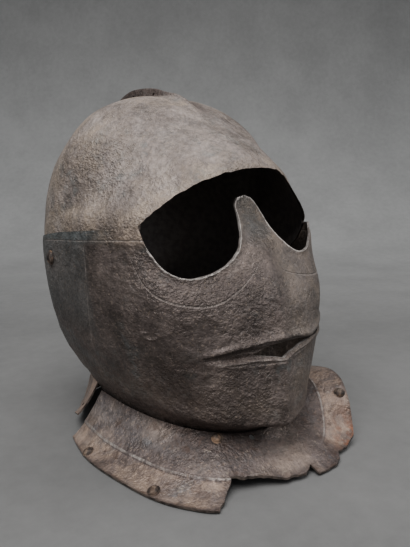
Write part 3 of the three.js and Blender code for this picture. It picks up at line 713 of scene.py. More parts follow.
def face_point(level, turn):
    """Points of the face plate in mm, for a level from 0 at the throat to 1 and a turn in degrees."""
    rows = np.column_stack([np.linspace(0, 1, len(FACE)), FACE])
    front_z, rear_z, wide, deep, fullness, keel = along(rows, level)
    half_width = FRONT_SIZES["half_width"] * wide
    crest = KEEL_DEPTH * keel
    reach = FRONT_SIZES["reach"] * deep - crest
    angle = np.radians(np.clip(np.abs(turn), 0, 90))
    x = half_width * np.sin(angle) ** (2 / fullness)
    y = -reach * np.maximum(np.cos(angle), 0) ** (2 / fullness)
    y -= crest * np.maximum(1 - x / KEEL_SPREAD, 0) ** 1.5
    back = np.maximum(np.abs(turn) - 90, 0)
    x = np.where(back > 0, half_width * np.sqrt(1 - (np.minimum(back, REAR) / BACK_ROUND) ** 2), x)
    y = np.where(back > 0, np.minimum(back, REAR), y)
    span = np.clip((y + reach) / (REAR + reach), 0, 1)
    z = FRONT_SIZES["height"] * (front_z + (rear_z - front_z) * span)
    return np.column_stack([np.sign(turn) * x, y + TEMPLE_DEPTH, z])


def across(u):
    """Turn round the face for a place u from -1 to 1, closer at the keel, with the rear after 90 degrees."""
    front_share = 1 - REAR_SHARE
    a = np.abs(u)
    front_turn = 90 * (0.55 * (a / front_share) + 0.45 * (a / front_share) ** 2)
    turn = np.where(a < front_share, front_turn, 90 + REAR * (a - front_share) / REAR_SHARE)
    return np.sign(u) * turn


# Place across and height of the creases round the mouth, in mm.
UPPER_LIP = [
    (-100, 92), (-62, 98), (-48, 102.1), (-35, 104.6), (2, 108.4), (20, 107), (38, 104.5), (60, 108),
    (80, 113), (110, 120),
]
LOWER_LIP = [
    (-100, 95), (-62, 97.3), (-56, 95.6), (-41, 95.2), (-24.9, 96.5), (0, 94.2), (20, 98.6),
    (39, 102.4), (60, 105), (80, 110), (110, 117),
]
UNDER_LIP = [
    (-100, 95), (-60, 94.6), (-41, 92.2), (-24, 90.9), (0, 91), (20, 95), (45, 100.5), (75, 107.5),
    (110, 114),
]


def distance_to(line, a, b):
    """Distance of each point (a, b) from the nearest point of a drawn line."""
    return np.min(np.hypot(a[:, None] - line[None, :, 0], b[:, None] - line[None, :, 1]), axis=1)


def beaten(points, rim_lines):
    """How far lips, creases, rolled rims and dents stand out of the plain face plate, in mm."""
    x, y, z = points.T
    rim_gap = distance_to(rim_lines, x, z)
    ahead_of_face = smooth_step(-60, -95, y - TEMPLE_DEPTH)
    upper, lower, under = line_at(UPPER_LIP, x), line_at(LOWER_LIP, x), line_at(UNDER_LIP, x)
    ends = smooth_step(-66, -38, x) * smooth_step(84, 50, x)
    # The mouth sinks in between a broad upper lip and two narrow ridges below it.
    mouth = smooth_step(0, 2.5, upper - z) * smooth_step(-1.0, 2.0, z - lower)
    out = -2.6 * mouth * ends
    out += 1.6 * bell(z - upper - 1.6, 2.4) * smooth_step(-70, -40, x)
    out += 1.3 * bell(z - lower + 1.4, 1.7) * ends
    out += 0.7 * bell(z - under + 0.6, 1.3) * ends * smooth_step(-1, 1.2, lower - under)
    out -= 0.7 * bell(z - (lower + under) / 2 + 0.6, 1.0) * ends * smooth_step(0.5, 2, lower - under)
    # A sharper keel down the middle, with the metal drawn in beside it.
    keel = smooth_step(200, 150, z) * (0.6 + 0.4 * smooth_step(104, 92, z)) * smooth_step(33, 45, z)
    out += 2.2 * keel * np.maximum(1 - np.abs(x) / 15, 0) - 0.5 * keel * bell(np.abs(x) - 17, 9)
    # A small dent in the near cheek, and the rims of the eyes rolled a little forward.
    ring = np.hypot(x + 86, z - 115)
    out += 1.0 * bell(ring - 3.2, 1.1) * (z < 117) - 0.6 * bell(ring, 2.4)
    out *= ahead_of_face
    out += (0.9 * bell(rim_gap, 1.7) - 0.45 * bell(rim_gap - 4.5, 2.5)) * (y < -20)
    return out


def turned_outwards(obj, outward):
    """Turns a sheet to the given directions, so that its wall goes to the right side of it."""
    normals = np.empty(len(obj.data.vertices) * 3)
    obj.data.vertices.foreach_get("normal", normals)
    normals = normals.reshape(-1, 3)
    if np.mean(np.sum(normals * outward, axis=1)) >= 0:
        return normals
    only(obj)
    bpy.ops.object.mode_set(mode="EDIT")
    bpy.ops.mesh.select_all(action="SELECT")
    bpy.ops.mesh.flip_normals()
    bpy.ops.object.mode_set(mode="OBJECT")
    return turned_outwards(obj, outward)


mask, u, v = sheet_grid("mask", 226, 160)
level_of_row = np.interp(v, [0, 0.12, 0.3, 0.62, 1.0], [0, 0.18, 0.37, 0.6, 1.0])
points = face_point(level_of_row, across(2 * u - 1))
write_points(mask, (points + OFF) * MM)
normals = turned_outwards(mask, (points - (0, TEMPLE_DEPTH, 0)) * (0, 1, 0))
eye_lines = np.concatenate([smoothed(RIGHT_EYE, 90), smoothed(LEFT_EYE, 80)])
eye_lines = eye_lines * (FRONT_SIZES["half_width"], FRONT_SIZES["height"])
hammered = waves(points, 38, 0.5, 5) + waves(points, 14, 0.25, 6) + waves(points, 5.5, 0.14, 7)
lift = beaten(points, eye_lines) + hammered
write_points(mask, (points + OFF + normals * lift[:, None]) * MM)
print("face plate (mm):", np.round(points.min(0), 1), np.round(points.max(0), 1))

# %% [markdown]
# ### Wall and openings
# Solidify gives the plate its wall, inwards, so the outside keeps its place. Then the eyes, the
# nasal between them and the mouth are cut from the front, and the top and rear edges from the side.
# The cutters carry the rubbed finish, so a thin bright line runs round every opening.

# %% Face plate cuts
# Shares of the half width and of the height, seen from the front.
MOUTH = [
    [-0.222, 0.461], [-0.109, 0.45], [-0.004, 0.4405], [0.075, 0.451], [0.182, 0.465], [0.35, 0.479],
    [0.153, 0.492], [0.005, 0.498], [-0.093, 0.488], [-0.169, 0.473],
]
# Shares of the reach and of the height, seen from the side.
TOP_EDGE = [
    [-0.645, 0.894], [-0.47, 0.885], [-0.33, 0.877], [-0.12, 0.866], [0.04, 0.852], [0.125, 0.842],
]
REAR_EDGE = [
    [0.152, 0.815], [0.15, 0.68], [0.135, 0.53], [0.098, 0.39], [0.05, 0.29], [-0.02, 0.21],
    [-0.06, 0.15],
]
# The cuts from the front end here, behind the face and well before the rear edges.
FRONT_CUT_END = 8
wide, deep, high = FRONT_SIZES["half_width"], FRONT_SIZES["reach"], FRONT_SIZES["height"]


def seen_from_front(outline):
    return [[x * wide + OFF[0], z * high + OFF[2]] for x, z in outline]


def seen_from_side(outline):
    return [[TEMPLE_DEPTH + y * deep + OFF[1], z * high + OFF[2]] for y, z in outline]


apply_modifier(mask, "SOLIDIFY", "wall", thickness=MASK_WALL * MM, offset=-1)
right = ragged(smoothed(seen_from_front(RIGHT_EYE), 90), 0.35, 6, 2)
left = ragged(smoothed(seen_from_front(LEFT_EYE), 80), 0.35, 6, 3)
mouth = np.array(seen_from_front(MOUTH))
halfway = (mouth + np.roll(mouth, -1, axis=0)) / 2
slit = ragged(np.stack([mouth, halfway], axis=1).reshape(-1, 2), 0.3, 4, 4)
top = seen_from_side(TOP_EDGE)
rear = [top[-1], *seen_from_side(REAR_EDGE)]
mask.data.materials.clear()
mask.data.materials.append(skull_steel)
right_outline = closed(right, (right[-1][0], FAR), (-FAR, FAR), (-FAR, right[0][1]))
left_outline = closed(left, (FAR, left[-1][1]), (FAR, FAR), (left[0][0], FAR))
top_outline = closed(top, (FAR, top[-1][1]), (FAR, FAR), (top[0][0], FAR))
rear_outline = closed(rear, (rear[-1][0], -FAR), (FAR, -FAR), (FAR, rear[0][1]))
cut(mask, cutter("right eye", right_outline, "Y", -FAR, FRONT_CUT_END, rubbed_edge))
cut(mask, cutter("left eye", left_outline, "Y", -FAR, FRONT_CUT_END, rubbed_edge))
cut(mask, cutter("mouth", closed(slit), "Y", -FAR, FRONT_CUT_END, rubbed_edge), careful=True)
cut(mask, cutter("top", top_outline, "X", -FAR, FAR, rubbed_edge))
cut(mask, cutter("rear", rear_outline, "X", -FAR, FAR, dark_edge))
print("face plate faces:", len(mask.data.polygons))

# %% [markdown]
# ### The darkest steel, and its engraved lines
# The face plate is darker than the skull, with pits like orange peel, and light scratches.
# Long shallow curves were scribed under the eyes, beside the cheek and below the top edge. They are
# narrower than the mesh is fine, so the finish draws them: each is a curve over the object's own
# coordinates, turned into a thin pale groove.

# %% Finish of the face plate
FACE_METAL = 0.5
LIP_SHADE, SCRATCH_PALE, RIM_WEAR_AND_HIGHLIGHT = (0.025, 0.018, 0.016), (0.3, 0.255, 0.23), (0.52, 0.47, 0.43)
WIDE_LINE, LINE = 0.0011, 0.0009
f, face_colour, face_rough, face_normal = brown_steel(
    "mask_steel",
    tones=((0.05, 0.038, 0.034), (0.094, 0.073, 0.066), (0.165, 0.13, 0.115)),
    cool=(0.1, 0.112, 0.112), dust=(0.27, 0.205, 0.155),
    pits=265, pit_depth=0.0026, dusty=0.75, rough=(0.4, 0.64), grainy=0.3)
shift = OFF * MM
X, Y, Z = f.axis("X"), f.axis("Y"), f.axis("Z")


def scribed(over, height, points, width, low=None, high=None):
    """A thin line where one coordinate follows a drawn curve over another, in metres."""
    low = points[0][0] if low is None else low
    high = points[-1][0] if high is None else high
    target = f.curve(over, points)
    away = f.math("ABSOLUTE", f.math("SUBTRACT", height, target))
    line = f.between(away, width * 0.4, width, 1.0, 0.0)
    start = f.between(over, low, low + 0.004)
    end = f.between(over, high - 0.004, high, 1.0, 0.0)
    return f.math("MULTIPLY", line, f.math("MULTIPLY", start, end))


def metres(pairs, over_shift, height_shift):
    return [(a * MM + over_shift, b * MM + height_shift) for a, b in pairs]


slant = f.math("SUBTRACT", X, Y)
NEAR_ARC = [
    (-10, 173.7), (-3, 162.3), (11.3, 149), (28.5, 141.6), (53, 137.5), (67.8, 136.7),
    (83.4, 138.4), (97.8, 144.1), (112.8, 154.2), (122.1, 165.9),
]
FAR_ARC = [(12, 163), (16, 157.5), (31.7, 153.2), (46, 151), (60.9, 149.6), (80, 149.5)]
CHEEK_LINE = [(90, -28), (94, -28.4), (108, -32.6), (142.6, -40.6), (165, -42), (179.8, -41.5)]
TOP_LINE = [(-100, 183.3), (-83.5, 183.1), (-65.6, 182.5), (-36.2, 181.1), (11.4, 179.1), (40, 177)]
on_face = f.between(Y, -0.1, -0.06, 1.0, 0.0)
lines = scribed(slant, Z, metres(NEAR_ARC, shift[0] - shift[1], shift[2]), WIDE_LINE)
lines = f.math("MULTIPLY", lines, f.between(Y, -0.06, -0.05, 1.0, 0.0))
far_line = scribed(X, Z, metres(FAR_ARC, shift[0], shift[2]), WIDE_LINE)
lines = f.math("MAXIMUM", lines, f.math("MULTIPLY", far_line, on_face))
lines = f.math("MAXIMUM", lines, scribed(Z, Y, metres(CHEEK_LINE, shift[2], shift[1]), LINE))
lines = f.math("MAXIMUM", lines, scribed(Y, Z, metres(TOP_LINE, shift[1], shift[2]), LINE))
lip_shift = (shift[0], shift[2])
# A dark line along the upper lip's crease is painted shade; the same line is pressed in as a groove.
lip_points = metres([(a, b - 0.4) for a, b in UPPER_LIP[1:8]], *lip_shift)
lip_crease_shade = f.math("MULTIPLY", scribed(X, Z, lip_points, 0.0012, -0.062, 0.06), on_face)
ridges = []
for below in (1.4, 3.4):
    ridge_points = metres([(a, b - below) for a, b in LOWER_LIP[1:6]], *lip_shift)
    ridges.append(scribed(X, Z, ridge_points, LINE, -0.06 + 0.004 * below, 0.0))
ridge = f.math("MULTIPLY", f.math("MAXIMUM", *ridges), on_face)
broken_line = f.math("MULTIPLY", lines, f.between(f.grain(90, 3), 0.36, 0.54, 0.12, 0.5))
scratches = f.between(f.grain(60, 2, 0.5, 0.2, (9, 9, 0.7), (0.1, 0.2, 0.3)), 0.68, 0.73, 0.0, 0.25)
more = f.between(f.grain(60, 2, 0.5, 0.2, (0.8, 0.8, 9), (0.4, 0.1, 0.7)), 0.69, 0.74, 0.0, 0.2)
scratches = f.math("MAXIMUM", scratches, more)
# The eye rims are pale: rubbed metal, with a painted highlight along them.
rims = f.between(f.stored("edge"), 0.5, 0.66, 0.0, 0.85)
pale = f.math("MAXIMUM", f.math("MAXIMUM", broken_line, scratches), f.math("MULTIPLY", ridge, 0.35))
face_colour = f.mix(f.math("MULTIPLY", lip_crease_shade, 0.6), face_colour, LIP_SHADE)
face_colour = f.mix(pale, face_colour, SCRATCH_PALE)
face_colour = f.mix(rims, face_colour, RIM_WEAR_AND_HIGHLIGHT)
face_normal = f.bump(f.math("MULTIPLY", f.math("MAXIMUM", lines, lip_crease_shade), -1.0), 0.8, 0.0009, face_normal)
mask_steel = f.close(face_colour, FACE_METAL, face_rough, face_normal)
mask.data.materials[0] = mask_steel
print("nodes in the face plate's finish:", len(f.tree.nodes))

# %% [markdown]
# ### Where the face plate is cool, dusty, pale or shaded
# Finishes change over the plate: blued at the near temple, tan under its top line, pale at the rims
# of the eyes, as rubbed metal with a painted highlight. Painted shade darkens the throat and the
# mouth slit, and a painted shadow lies round the pivot. Each is a number on every vertex.

# %% Marks on the face plate
at = read_points(mask) / MM - OFF
x, y, z = at.T
front = y < 0
temple = smooth_step(178, 184, z) * smooth_step(-75, -60, y)
tan = 1.5 * bell(z - 187, 6) * smooth_step(-45, -70, y) * (y > -110) * (x < 0)
nasal = smooth_step(170, 195, z) * bell(x - 3, 16) * front
side_face = smooth_step(2, 20, x) * smooth_step(30, 90, z)
behind_line = smooth_step(-48, -38, y) * smooth_step(95, 130, z)
cooled = 0.9 * temple * (x < 0) + 0.6 * behind_line * (x < 0) + 0.9 * nasal + 0.25 * side_face
dusted = 0.1 + tan + 0.5 * side_face + 0.2 * bell(z - 60, 18) + 0.5 * nasal
keep_value(mask, "cool", np.clip(cooled, 0, 1))
keep_value(mask, "dust", np.clip(dusted, 0, 1))
# Painted shade at the throat and along the mouth slit, and a painted shadow round and below the pivot.
throat_shade = smooth_step(60, 34, z)
pivot_shadow = bell(np.hypot(y - 22.5, z - 157.5), 4.5) + 0.6 * bell(np.hypot(y - 22.5, z - 163) - 6.5, 1.5)
slit_shade = bell(z - line_at(UPPER_LIP, x) + 5, 4.5) * smooth_step(-90, -110, y)
# Nearness to the eye openings, for the pale rims: rubbed metal with a painted highlight.
gap = distance_to(np.concatenate([right, left]), x + OFF[0], z + OFF[2])
keep_value(mask, "edge", np.clip(1 - gap / 2.4, 0, 1) * front * (x > -86))
keep_value(mask, "shade", np.clip(0.65 * throat_shade + 0.3 * slit_shade + pivot_shadow, 0, 0.95))
finish_piece(mask, "mask_plate", "visor", ["mask"], 26)

# %% [markdown]
# ## The gorget
# The collar plates flare out from the throat to a rim that lies on the shoulders. The front plate
# sweeps from the throat to a rim drawn on the ground, lifted at the far shoulder, and its border is
# set down by a thin step with a painted highlight along it. The front edge is broken away, so a
# ragged cutter takes it off after the wall is made, as the damage came after the making.

# %% Front gorget
GORGET = {"half_width": 112.0, "reach": 172.0, "lift": 48.0}
GORGET_WALL = 1.6
BORDER_STEP = 0.9
# The border starts at this share of the way from the neck to the rim.
BORDER = 0.56
# Place round the plate from 0 to 1, turn at the throat, shares of half width and reach, share of
# the lift above the ground, and how far the border is there.
FRONT_RIM = [
    [0, -87, -0.938, 0.058, 0, 1], [0.05, -80, -0.97, -0.046, 0, 1], [0.12, -70, -1, -0.21, 0, 1],
    [0.2, -56, -0.973, -0.419, 0, 1], [0.28, -42, -0.888, -0.686, 0, 1], [0.35, -31, -0.759, -0.849, 0, 1],
    [0.42, -22, -0.6, -0.95, 0, 1], [0.48, -13, -0.35, -0.985, -0.02, 0.3], [0.54, -3, -0.07, -1, -0.03, 0],
    [0.6, 8, 0.22, -1, -0.03, 0], [0.66, 18, 0.48, -0.975, -0.02, 0], [0.71, 26, 0.69, -0.905, 0.02, 1],
    [0.74, 30, 0.775, -0.86, 0.14, 1], [0.78, 36, 0.848, -0.808, 0.36, 1],
    [0.82, 41, 0.875, -0.773, 0.65, 1], [0.855, 46, 0.933, -0.706, 0.86, 1],
    [0.89, 52, 1.009, -0.622, 0.94, 1], [0.92, 59, 1.054, -0.517, 0.96, 1],
    [0.95, 68, 1.06, -0.36, 0.86, 1], [0.975, 77, 1.03, -0.17, 0.66, 1], [1, 87, 0.955, 0.055, 0.42, 1],
]
# Shares of the half width and of the reach along the broken front, seen from above.
BROKEN = [
    [-0.64, -0.945], [-0.411, -0.843], [-0.33, -0.87], [-0.223, -0.89], [-0.071, -0.936], [0.107, -0.953],
    [0.19, -0.925], [0.21, -0.972], [0.384, -0.965], [0.482, -0.936], [0.53, -0.9], [0.62, -0.888],
    [0.72, -0.868], [0.79, -0.857], [0.95, -0.95],
]
THROAT = np.array(FACE[0]) * 0.25 + np.array(FACE[1]) * 0.75
# How far back the throat line runs, and how far the gorget's sheet stands off it.
THROAT_END, NECK_GAP = 48.0, 1.95
# The flare of the front plate on the ground, and where its rim is lifted.
FRONT_FLARE, LIFTED_FLARE = 1.45, 1.2


def away_from_axis(points):
    flat = np.column_stack([points[:, 0], points[:, 1] - TEMPLE_DEPTH, np.zeros(len(points))])
    return flat / np.linalg.norm(flat, axis=1)[:, None]


def throat_point(turn):
    """Points of the face plate's lower edge, which the gorget starts from."""
    front_z, rear_z, wide_share, reach_share, fullness, keel = THROAT
    crest = KEEL_DEPTH * keel
    reach = FRONT_SIZES["reach"] * reach_share - crest
    angle = np.radians(np.abs(turn))
    x = FRONT_SIZES["half_width"] * wide_share * np.sin(angle) ** (2 / fullness)
    y = -reach * np.cos(angle) ** (2 / fullness) - crest * np.maximum(1 - x / KEEL_SPREAD, 0) ** 1.5
    rise = (y + reach) / (THROAT_END - TEMPLE_DEPTH + reach)
    z = FRONT_SIZES["height"] * (front_z + (rear_z - front_z) * rise)
    return np.column_stack([np.sign(turn) * x, y + TEMPLE_DEPTH, z])


def flared(neck, rim, share, flare):
    """From the neck to the rim, steep at first and flatter towards the rim."""
    p = neck + (rim - neck) * share[:, None]
    p[:, 2] = rim[:, 2] + (neck[:, 2] - rim[:, 2]) * (1 - share) ** flare
    return p


def front_gorget_points(place, share):
    turn, x, y, lift, border = along(FRONT_RIM, place)
    neck = throat_point(turn)
    neck = neck + away_from_axis(neck) * NECK_GAP
    rim_height = GORGET_WALL + lift * GORGET["lift"]
    rim_points = np.column_stack([x * GORGET["half_width"], y * GORGET["reach"], rim_height])
    flare = FRONT_FLARE + (LIFTED_FLARE - FRONT_FLARE) * np.clip(2 * lift, 0, 1)
    p = flared(neck, rim_points, share, flare)
    band = np.clip(border, 0, 1)
    p[:, 2] -= band * BORDER_STEP * smooth_step(0.558, 0.578, share)
    p[:, 2] += band * 0.5 * bell(share - 0.556, 0.008)
    return p


def gorget_sheet(name, columns, rows, shape, share_of_row, finish):
    """A hammered plate of the gorget with its wall and its dark cut edge."""
    obj, u, v = sheet_grid(name, columns, rows)
    share = np.interp(v, *share_of_row)
    points = shape(u, share)
    write_points(obj, (points + OFF) * MM)
    normals = turned_outwards(obj, away_from_axis(points) + (0, 0, 1))
    lift = waves(points, 34, 0.55, 8) + waves(points, 12, 0.3, 9) + waves(points, 5, 0.12, 10)
    lift *= smooth_step(0.0, 0.12, share) * smooth_step(1.02, 0.9, share)
    write_points(obj, (points + OFF + normals * lift[:, None]) * MM)
    obj.data.materials.append(finish)
    obj.data.materials.append(dark_edge)
    keep_value(obj, "band", share)
    keep_value(obj, "along", u)
    apply_modifier(obj, "SOLIDIFY", "wall", thickness=GORGET_WALL * MM, offset=1,
                   material_offset_rim=1)
    return obj


GORGET_METAL = 0.5
STEP_HIGHLIGHT, FLAKE = (0.46, 0.41, 0.37), (0.38, 0.31, 0.25)
STAIN, RUST = (0.085, 0.05, 0.036), (0.2, 0.075, 0.035)
g, gorget_colour, gorget_rough, gorget_normal = brown_steel(
    "gorget_steel",
    tones=((0.055, 0.04, 0.04), (0.14, 0.112, 0.106), (0.34, 0.262, 0.215)),
    cool=(0.12, 0.135, 0.148), dust=(0.44, 0.315, 0.238),
    pits=270, pit_depth=0.0019, dusty=0.85, rough=(0.42, 0.68), grainy=0.24)
# A painted highlight along the border's step, only at places.
from_step = g.math("ABSOLUTE", g.math("SUBTRACT", g.stored("band"), BORDER))
step_highlight = g.between(from_step, 0.002, 0.007, 1.0, 0.0)
step_highlight = g.math("MULTIPLY", step_highlight, g.stored("bordered"))
step_highlight = g.math("MULTIPLY", step_highlight, g.between(g.grain(110, 3), 0.4, 0.6, 0.1, 0.6))
gorget_colour = g.mix(step_highlight, gorget_colour, STEP_HIGHLIGHT)
stains = g.between(g.grain(85, 5, 0.7, 0.5, offset=(0.6, 0.4, 0.9)), 0.55, 0.68, 0.0, 0.6)
gorget_colour = g.mix(stains, gorget_colour, STAIN)
flakes = g.between(g.grain(130, 4, 0.7, 0.3, offset=(0.2, 0.8, 0.3)), 0.6, 0.7, 0.0, 0.5)
gorget_colour = g.mix(flakes, gorget_colour, FLAKE)
rust = g.math("MULTIPLY", g.stored("rust"), g.between(g.grain(120, 4), 0.4, 0.6))
gorget_colour = g.mix(rust, gorget_colour, RUST)
gorget_steel = g.close(gorget_colour, GORGET_METAL, gorget_rough, gorget_normal)

# Rows of the grid, and their shares of the way to the rim: close together at the border's step.
SHARES = ([0, 0.45, 0.62, 1.0], [0, 0.53, 0.6, 1.0])
gorget = gorget_sheet("gorget", 300, 78, front_gorget_points, SHARES, gorget_steel)
broken = [[x * GORGET["half_width"] + OFF[0], y * GORGET["reach"] + OFF[1]] for x, y in BROKEN]
TORN_STEP = 1.6
torn = []
for (x1, y1), (x2, y2) in zip(broken, broken[1:]):
    count = max(int(math.hypot(x2 - x1, y2 - y1) / TORN_STEP), 2)
    torn += [(x1 + (x2 - x1) * i / count, y1 + (y2 - y1) * i / count) for i in range(count)]
torn = ragged(np.array([*torn, broken[-1]]), 1.1, 4.0, 5)
broken_outline = closed(torn, (torn[-1][0], -FAR), (torn[0][0], -FAR))
cut(gorget, cutter("broken edge", broken_outline, "Z", -50, 200, dark_edge))
print("points along the broken edge:", len(torn))

# %% [markdown]
# ### Wear and painted shade of the gorget, and its throat rivet's hole
# Dust lies on the border, the broken edge is dark, and the far front corner is rusty. Painted
# shade lies at the neck, and a painted shadow of the chin on the front.
# The hole is drilled square to the plate.

# %% Marks and hole of the front gorget
DRILL_LENGTH = 30


def spot_on(shape, place, share):
    """A place on a gorget plate, in metres."""
    return Vector((shape(np.array([place]), np.array([share]))[0] + OFF).tolist()) * MM


def drilled(obj, spot, finish, radius=2.2):
    """A hole square through the plate at a spot on it."""
    bpy.ops.mesh.primitive_cylinder_add(vertices=20, radius=radius * MM,
                                        depth=DRILL_LENGTH * MM, location=spot)
    tool = bpy.context.active_object
    normal = obj.closest_point_on_mesh(spot)[2]
    tool.rotation_euler = normal.to_track_quat("Z", "Y").to_euler()
    only(tool)
    bpy.ops.object.transform_apply(location=True, rotation=True, scale=True)
    tool.data.materials.append(finish)
    cut(obj, tool)


band, place = kept_values(gorget, "band"), kept_values(gorget, "along")
border = np.clip(along(FRONT_RIM, place)[4], 0, 1)
at = read_points(gorget) / MM - OFF
keep_value(gorget, "bordered", border)
on_border = border * smooth_step(0.565, 0.62, band) * smooth_step(1.02, 0.97, band)
keep_value(gorget, "dust", np.clip(0.16 + 0.75 * on_border, 0, 1))
edge_dark = smooth_step(8, 1, distance_to(torn[::3], at[:, 0] + OFF[0], at[:, 1] + OFF[1]))
# Darker towards the far side, on the inner half of the plate.
darker_far_inside = 0.3 * smooth_step(-30, 30, at[:, 0]) * smooth_step(0.6, 0.5, band)
in_front = smooth_step(0.12, 0.4, place) * smooth_step(0.9, 0.7, place)
# Painted shadow of the chin on the front of the plate.
chin_shadow = 0.95 * smooth_step(0.58, 0.1, band) * in_front
worn_rim = 0.6 * smooth_step(0.93, 0.99, band) * border
# The last term is painted shade at the neck, under the face plate.
shades = 0.6 * edge_dark + darker_far_inside + chin_shadow + worn_rim + 0.75 * smooth_step(0.12, 0.0, band)
keep_value(gorget, "shade", np.clip(shades, 0, 0.9))
keep_value(gorget, "rust", np.clip(bell(np.hypot(at[:, 0] - 84, at[:, 1] + 150), 16), 0, 0.9))
keep_value(gorget, "cool", 0.3 * smooth_step(0.5, 0.3, band))
drilled(gorget, spot_on(front_gorget_points, 0.513, 0.07), dark_edge)
finish_piece(gorget, "front_gorget_plate", "visor", ["front_gorget"], 45)

# %% [markdown]
# ### The rear plate
# Behind, a smaller plate follows the neck of the skull. It is plain, dusty and tan, with a small
# hole near each front corner, perhaps for a strap. Its near front corner is bent out further.

# %% Rear gorget
# The sheet's distance from the skull, its flare, its lap over the neck and its rim's height.
REAR_GAP, REAR_FLARE, REAR_LAP, REAR_GROUND = 1.55, 1.45, 6, 0.7
STRAP_HOLE_RADIUS = 1.7
# Place round the plate from 0 to 1, bearing from straight back, shares of half width and reach,
# and share of the lift above the ground.
REAR_RIM = [
    [0, -92, -0.87, 0.085, 0.37], [0.05, -87, -0.845, 0.16, 0.3], [0.1, -80, -0.79, 0.25, 0.17],
    [0.17, -68, -0.69, 0.345, 0.08], [0.26, -50, -0.56, 0.49, 0.03], [0.38, -26, -0.34, 0.66, 0],
    [0.5, 0, 0, 0.745, 0], [0.62, 26, 0.34, 0.66, 0], [0.74, 50, 0.56, 0.49, 0.03],
    [0.83, 68, 0.69, 0.345, 0.08], [0.9, 80, 0.755, 0.25, 0.17], [0.95, 87, 0.775, 0.16, 0.28],
    [1, 92, 0.78, 0.09, 0.34],
]


# Just inside the skull's half width, where its surface can still be found.
WIDEST = 109


def skull_at(bearing, z):
    """Points of the skull at a height, found by halving the distance (bearing 0 is straight back)."""
    near, beyond = np.zeros_like(bearing), np.full_like(bearing, 2 * SKULL_SIZES["back"])
    sine, cosine = np.sin(np.radians(bearing)), np.cos(np.radians(bearing))
    for _ in range(36):
        middle = (near + beyond) / 2
        x, y = middle * sine, middle * cosine
        degrees = round_temples(y, z - TEMPLE_HEIGHT)
        edge = np.hypot(*skull_surface(degrees, np.minimum(np.abs(x), WIDEST))[:, 1:].T)
        inside = (np.hypot(y, z - TEMPLE_HEIGHT) < edge) & (np.abs(x) < WIDEST)
        near, beyond = np.where(inside, middle, near), np.where(inside, beyond, middle)
    return np.column_stack([near * sine, TEMPLE_DEPTH + near * cosine, np.full_like(near, z)])


def rear_gorget_points(place, share):
    bearing, x, y, lift = along(REAR_RIM, place)
    neck = skull_at(bearing, NECK_HEIGHT + REAR_LAP)
    neck = neck + away_from_axis(neck) * REAR_GAP
    rim_height = REAR_GROUND + lift * GORGET["lift"]
    rim_points = np.column_stack([x * GORGET["half_width"], y * GORGET["reach"], rim_height])
    return flared(neck, rim_points, share, REAR_FLARE)


rear_plate = gorget_sheet("rear gorget", 180, 40, rear_gorget_points, ([0, 1], [0, 1]), gorget_steel)
for side in (-1, 1):
    hole = spot_on(rear_gorget_points, 0.5 + side * 0.468, 0.62)
    drilled(rear_plate, hole, dark_edge, STRAP_HOLE_RADIUS)
keep_value(rear_plate, "dust", np.full(len(rear_plate.data.vertices), 0.85))
finish_piece(rear_plate, "rear_gorget_plate", "helmet", ["rear_gorget"], 45)

# %% [markdown]
# ## Rivets
# Old rivets were set hot and hammered by hand, so no two heads are alike. Each starts as a sphere,
# is squashed to a low dome, dented a little and set on a thin washer. The pivots at the temples are
# larger and rusty, because that is where water stayed.

# %% Rivet finish and heads
r = Finish("rivet_iron")
lumps = r.grain(200, 4, 0.6, 0.4)
IRON_TONES = [(0.36, (0.014, 0.01, 0.009)), (0.52, (0.05, 0.036, 0.03)), (0.68, (0.2, 0.15, 0.115))]
iron = r.ramp(lumps, IRON_TONES)
rust = r.between(r.grain(150, 4, offset=(0.2, 0.6, 0.1)), 0.46, 0.66)
iron = r.mix(r.math("MULTIPLY", rust, r.stored("rust")), iron, (0.34, 0.21, 0.13))
rivet_iron = r.close(iron, 0.35, 0.68, r.bump(lumps, 0.9, 0.0006, r.bump(r.grain(700, 3), 0.6, 0.0003)))
WASHER_HEIGHT, WASHER_WIDER, WASHER_WORN = 0.55, 1.16, 0.2
SHANK_RADIUS, SHANK_SPARE = 1.5, 0.4
BURR_RADIUS, BURR_HEIGHT = 2.9, 0.6


def squashed(name, radius, height, at, seed, segments=40):
    """A hammered head: a dented sphere flattened to a dome, its middle raised to a height (mm)."""
    bpy.ops.mesh.primitive_uv_sphere_add(segments=segments, ring_count=24, radius=radius * MM)
    head = bpy.context.active_object
    head.name = name
    points = read_points(head)
    seeds = Vector((seed * 5.1, seed * 2.3, 0))
    bumps = np.array([noise.noise(Vector(p) / (radius * 0.9 * MM) + seeds) for p in points])
    points *= (1 + 0.1 * bumps)[:, None]
    points[:, 2] = np.sign(points[:, 2]) * np.abs(points[:, 2] / (radius * MM)) ** 0.85 * height * MM
    points[:, 2] += at * MM
    write_points(head, points)
    return head


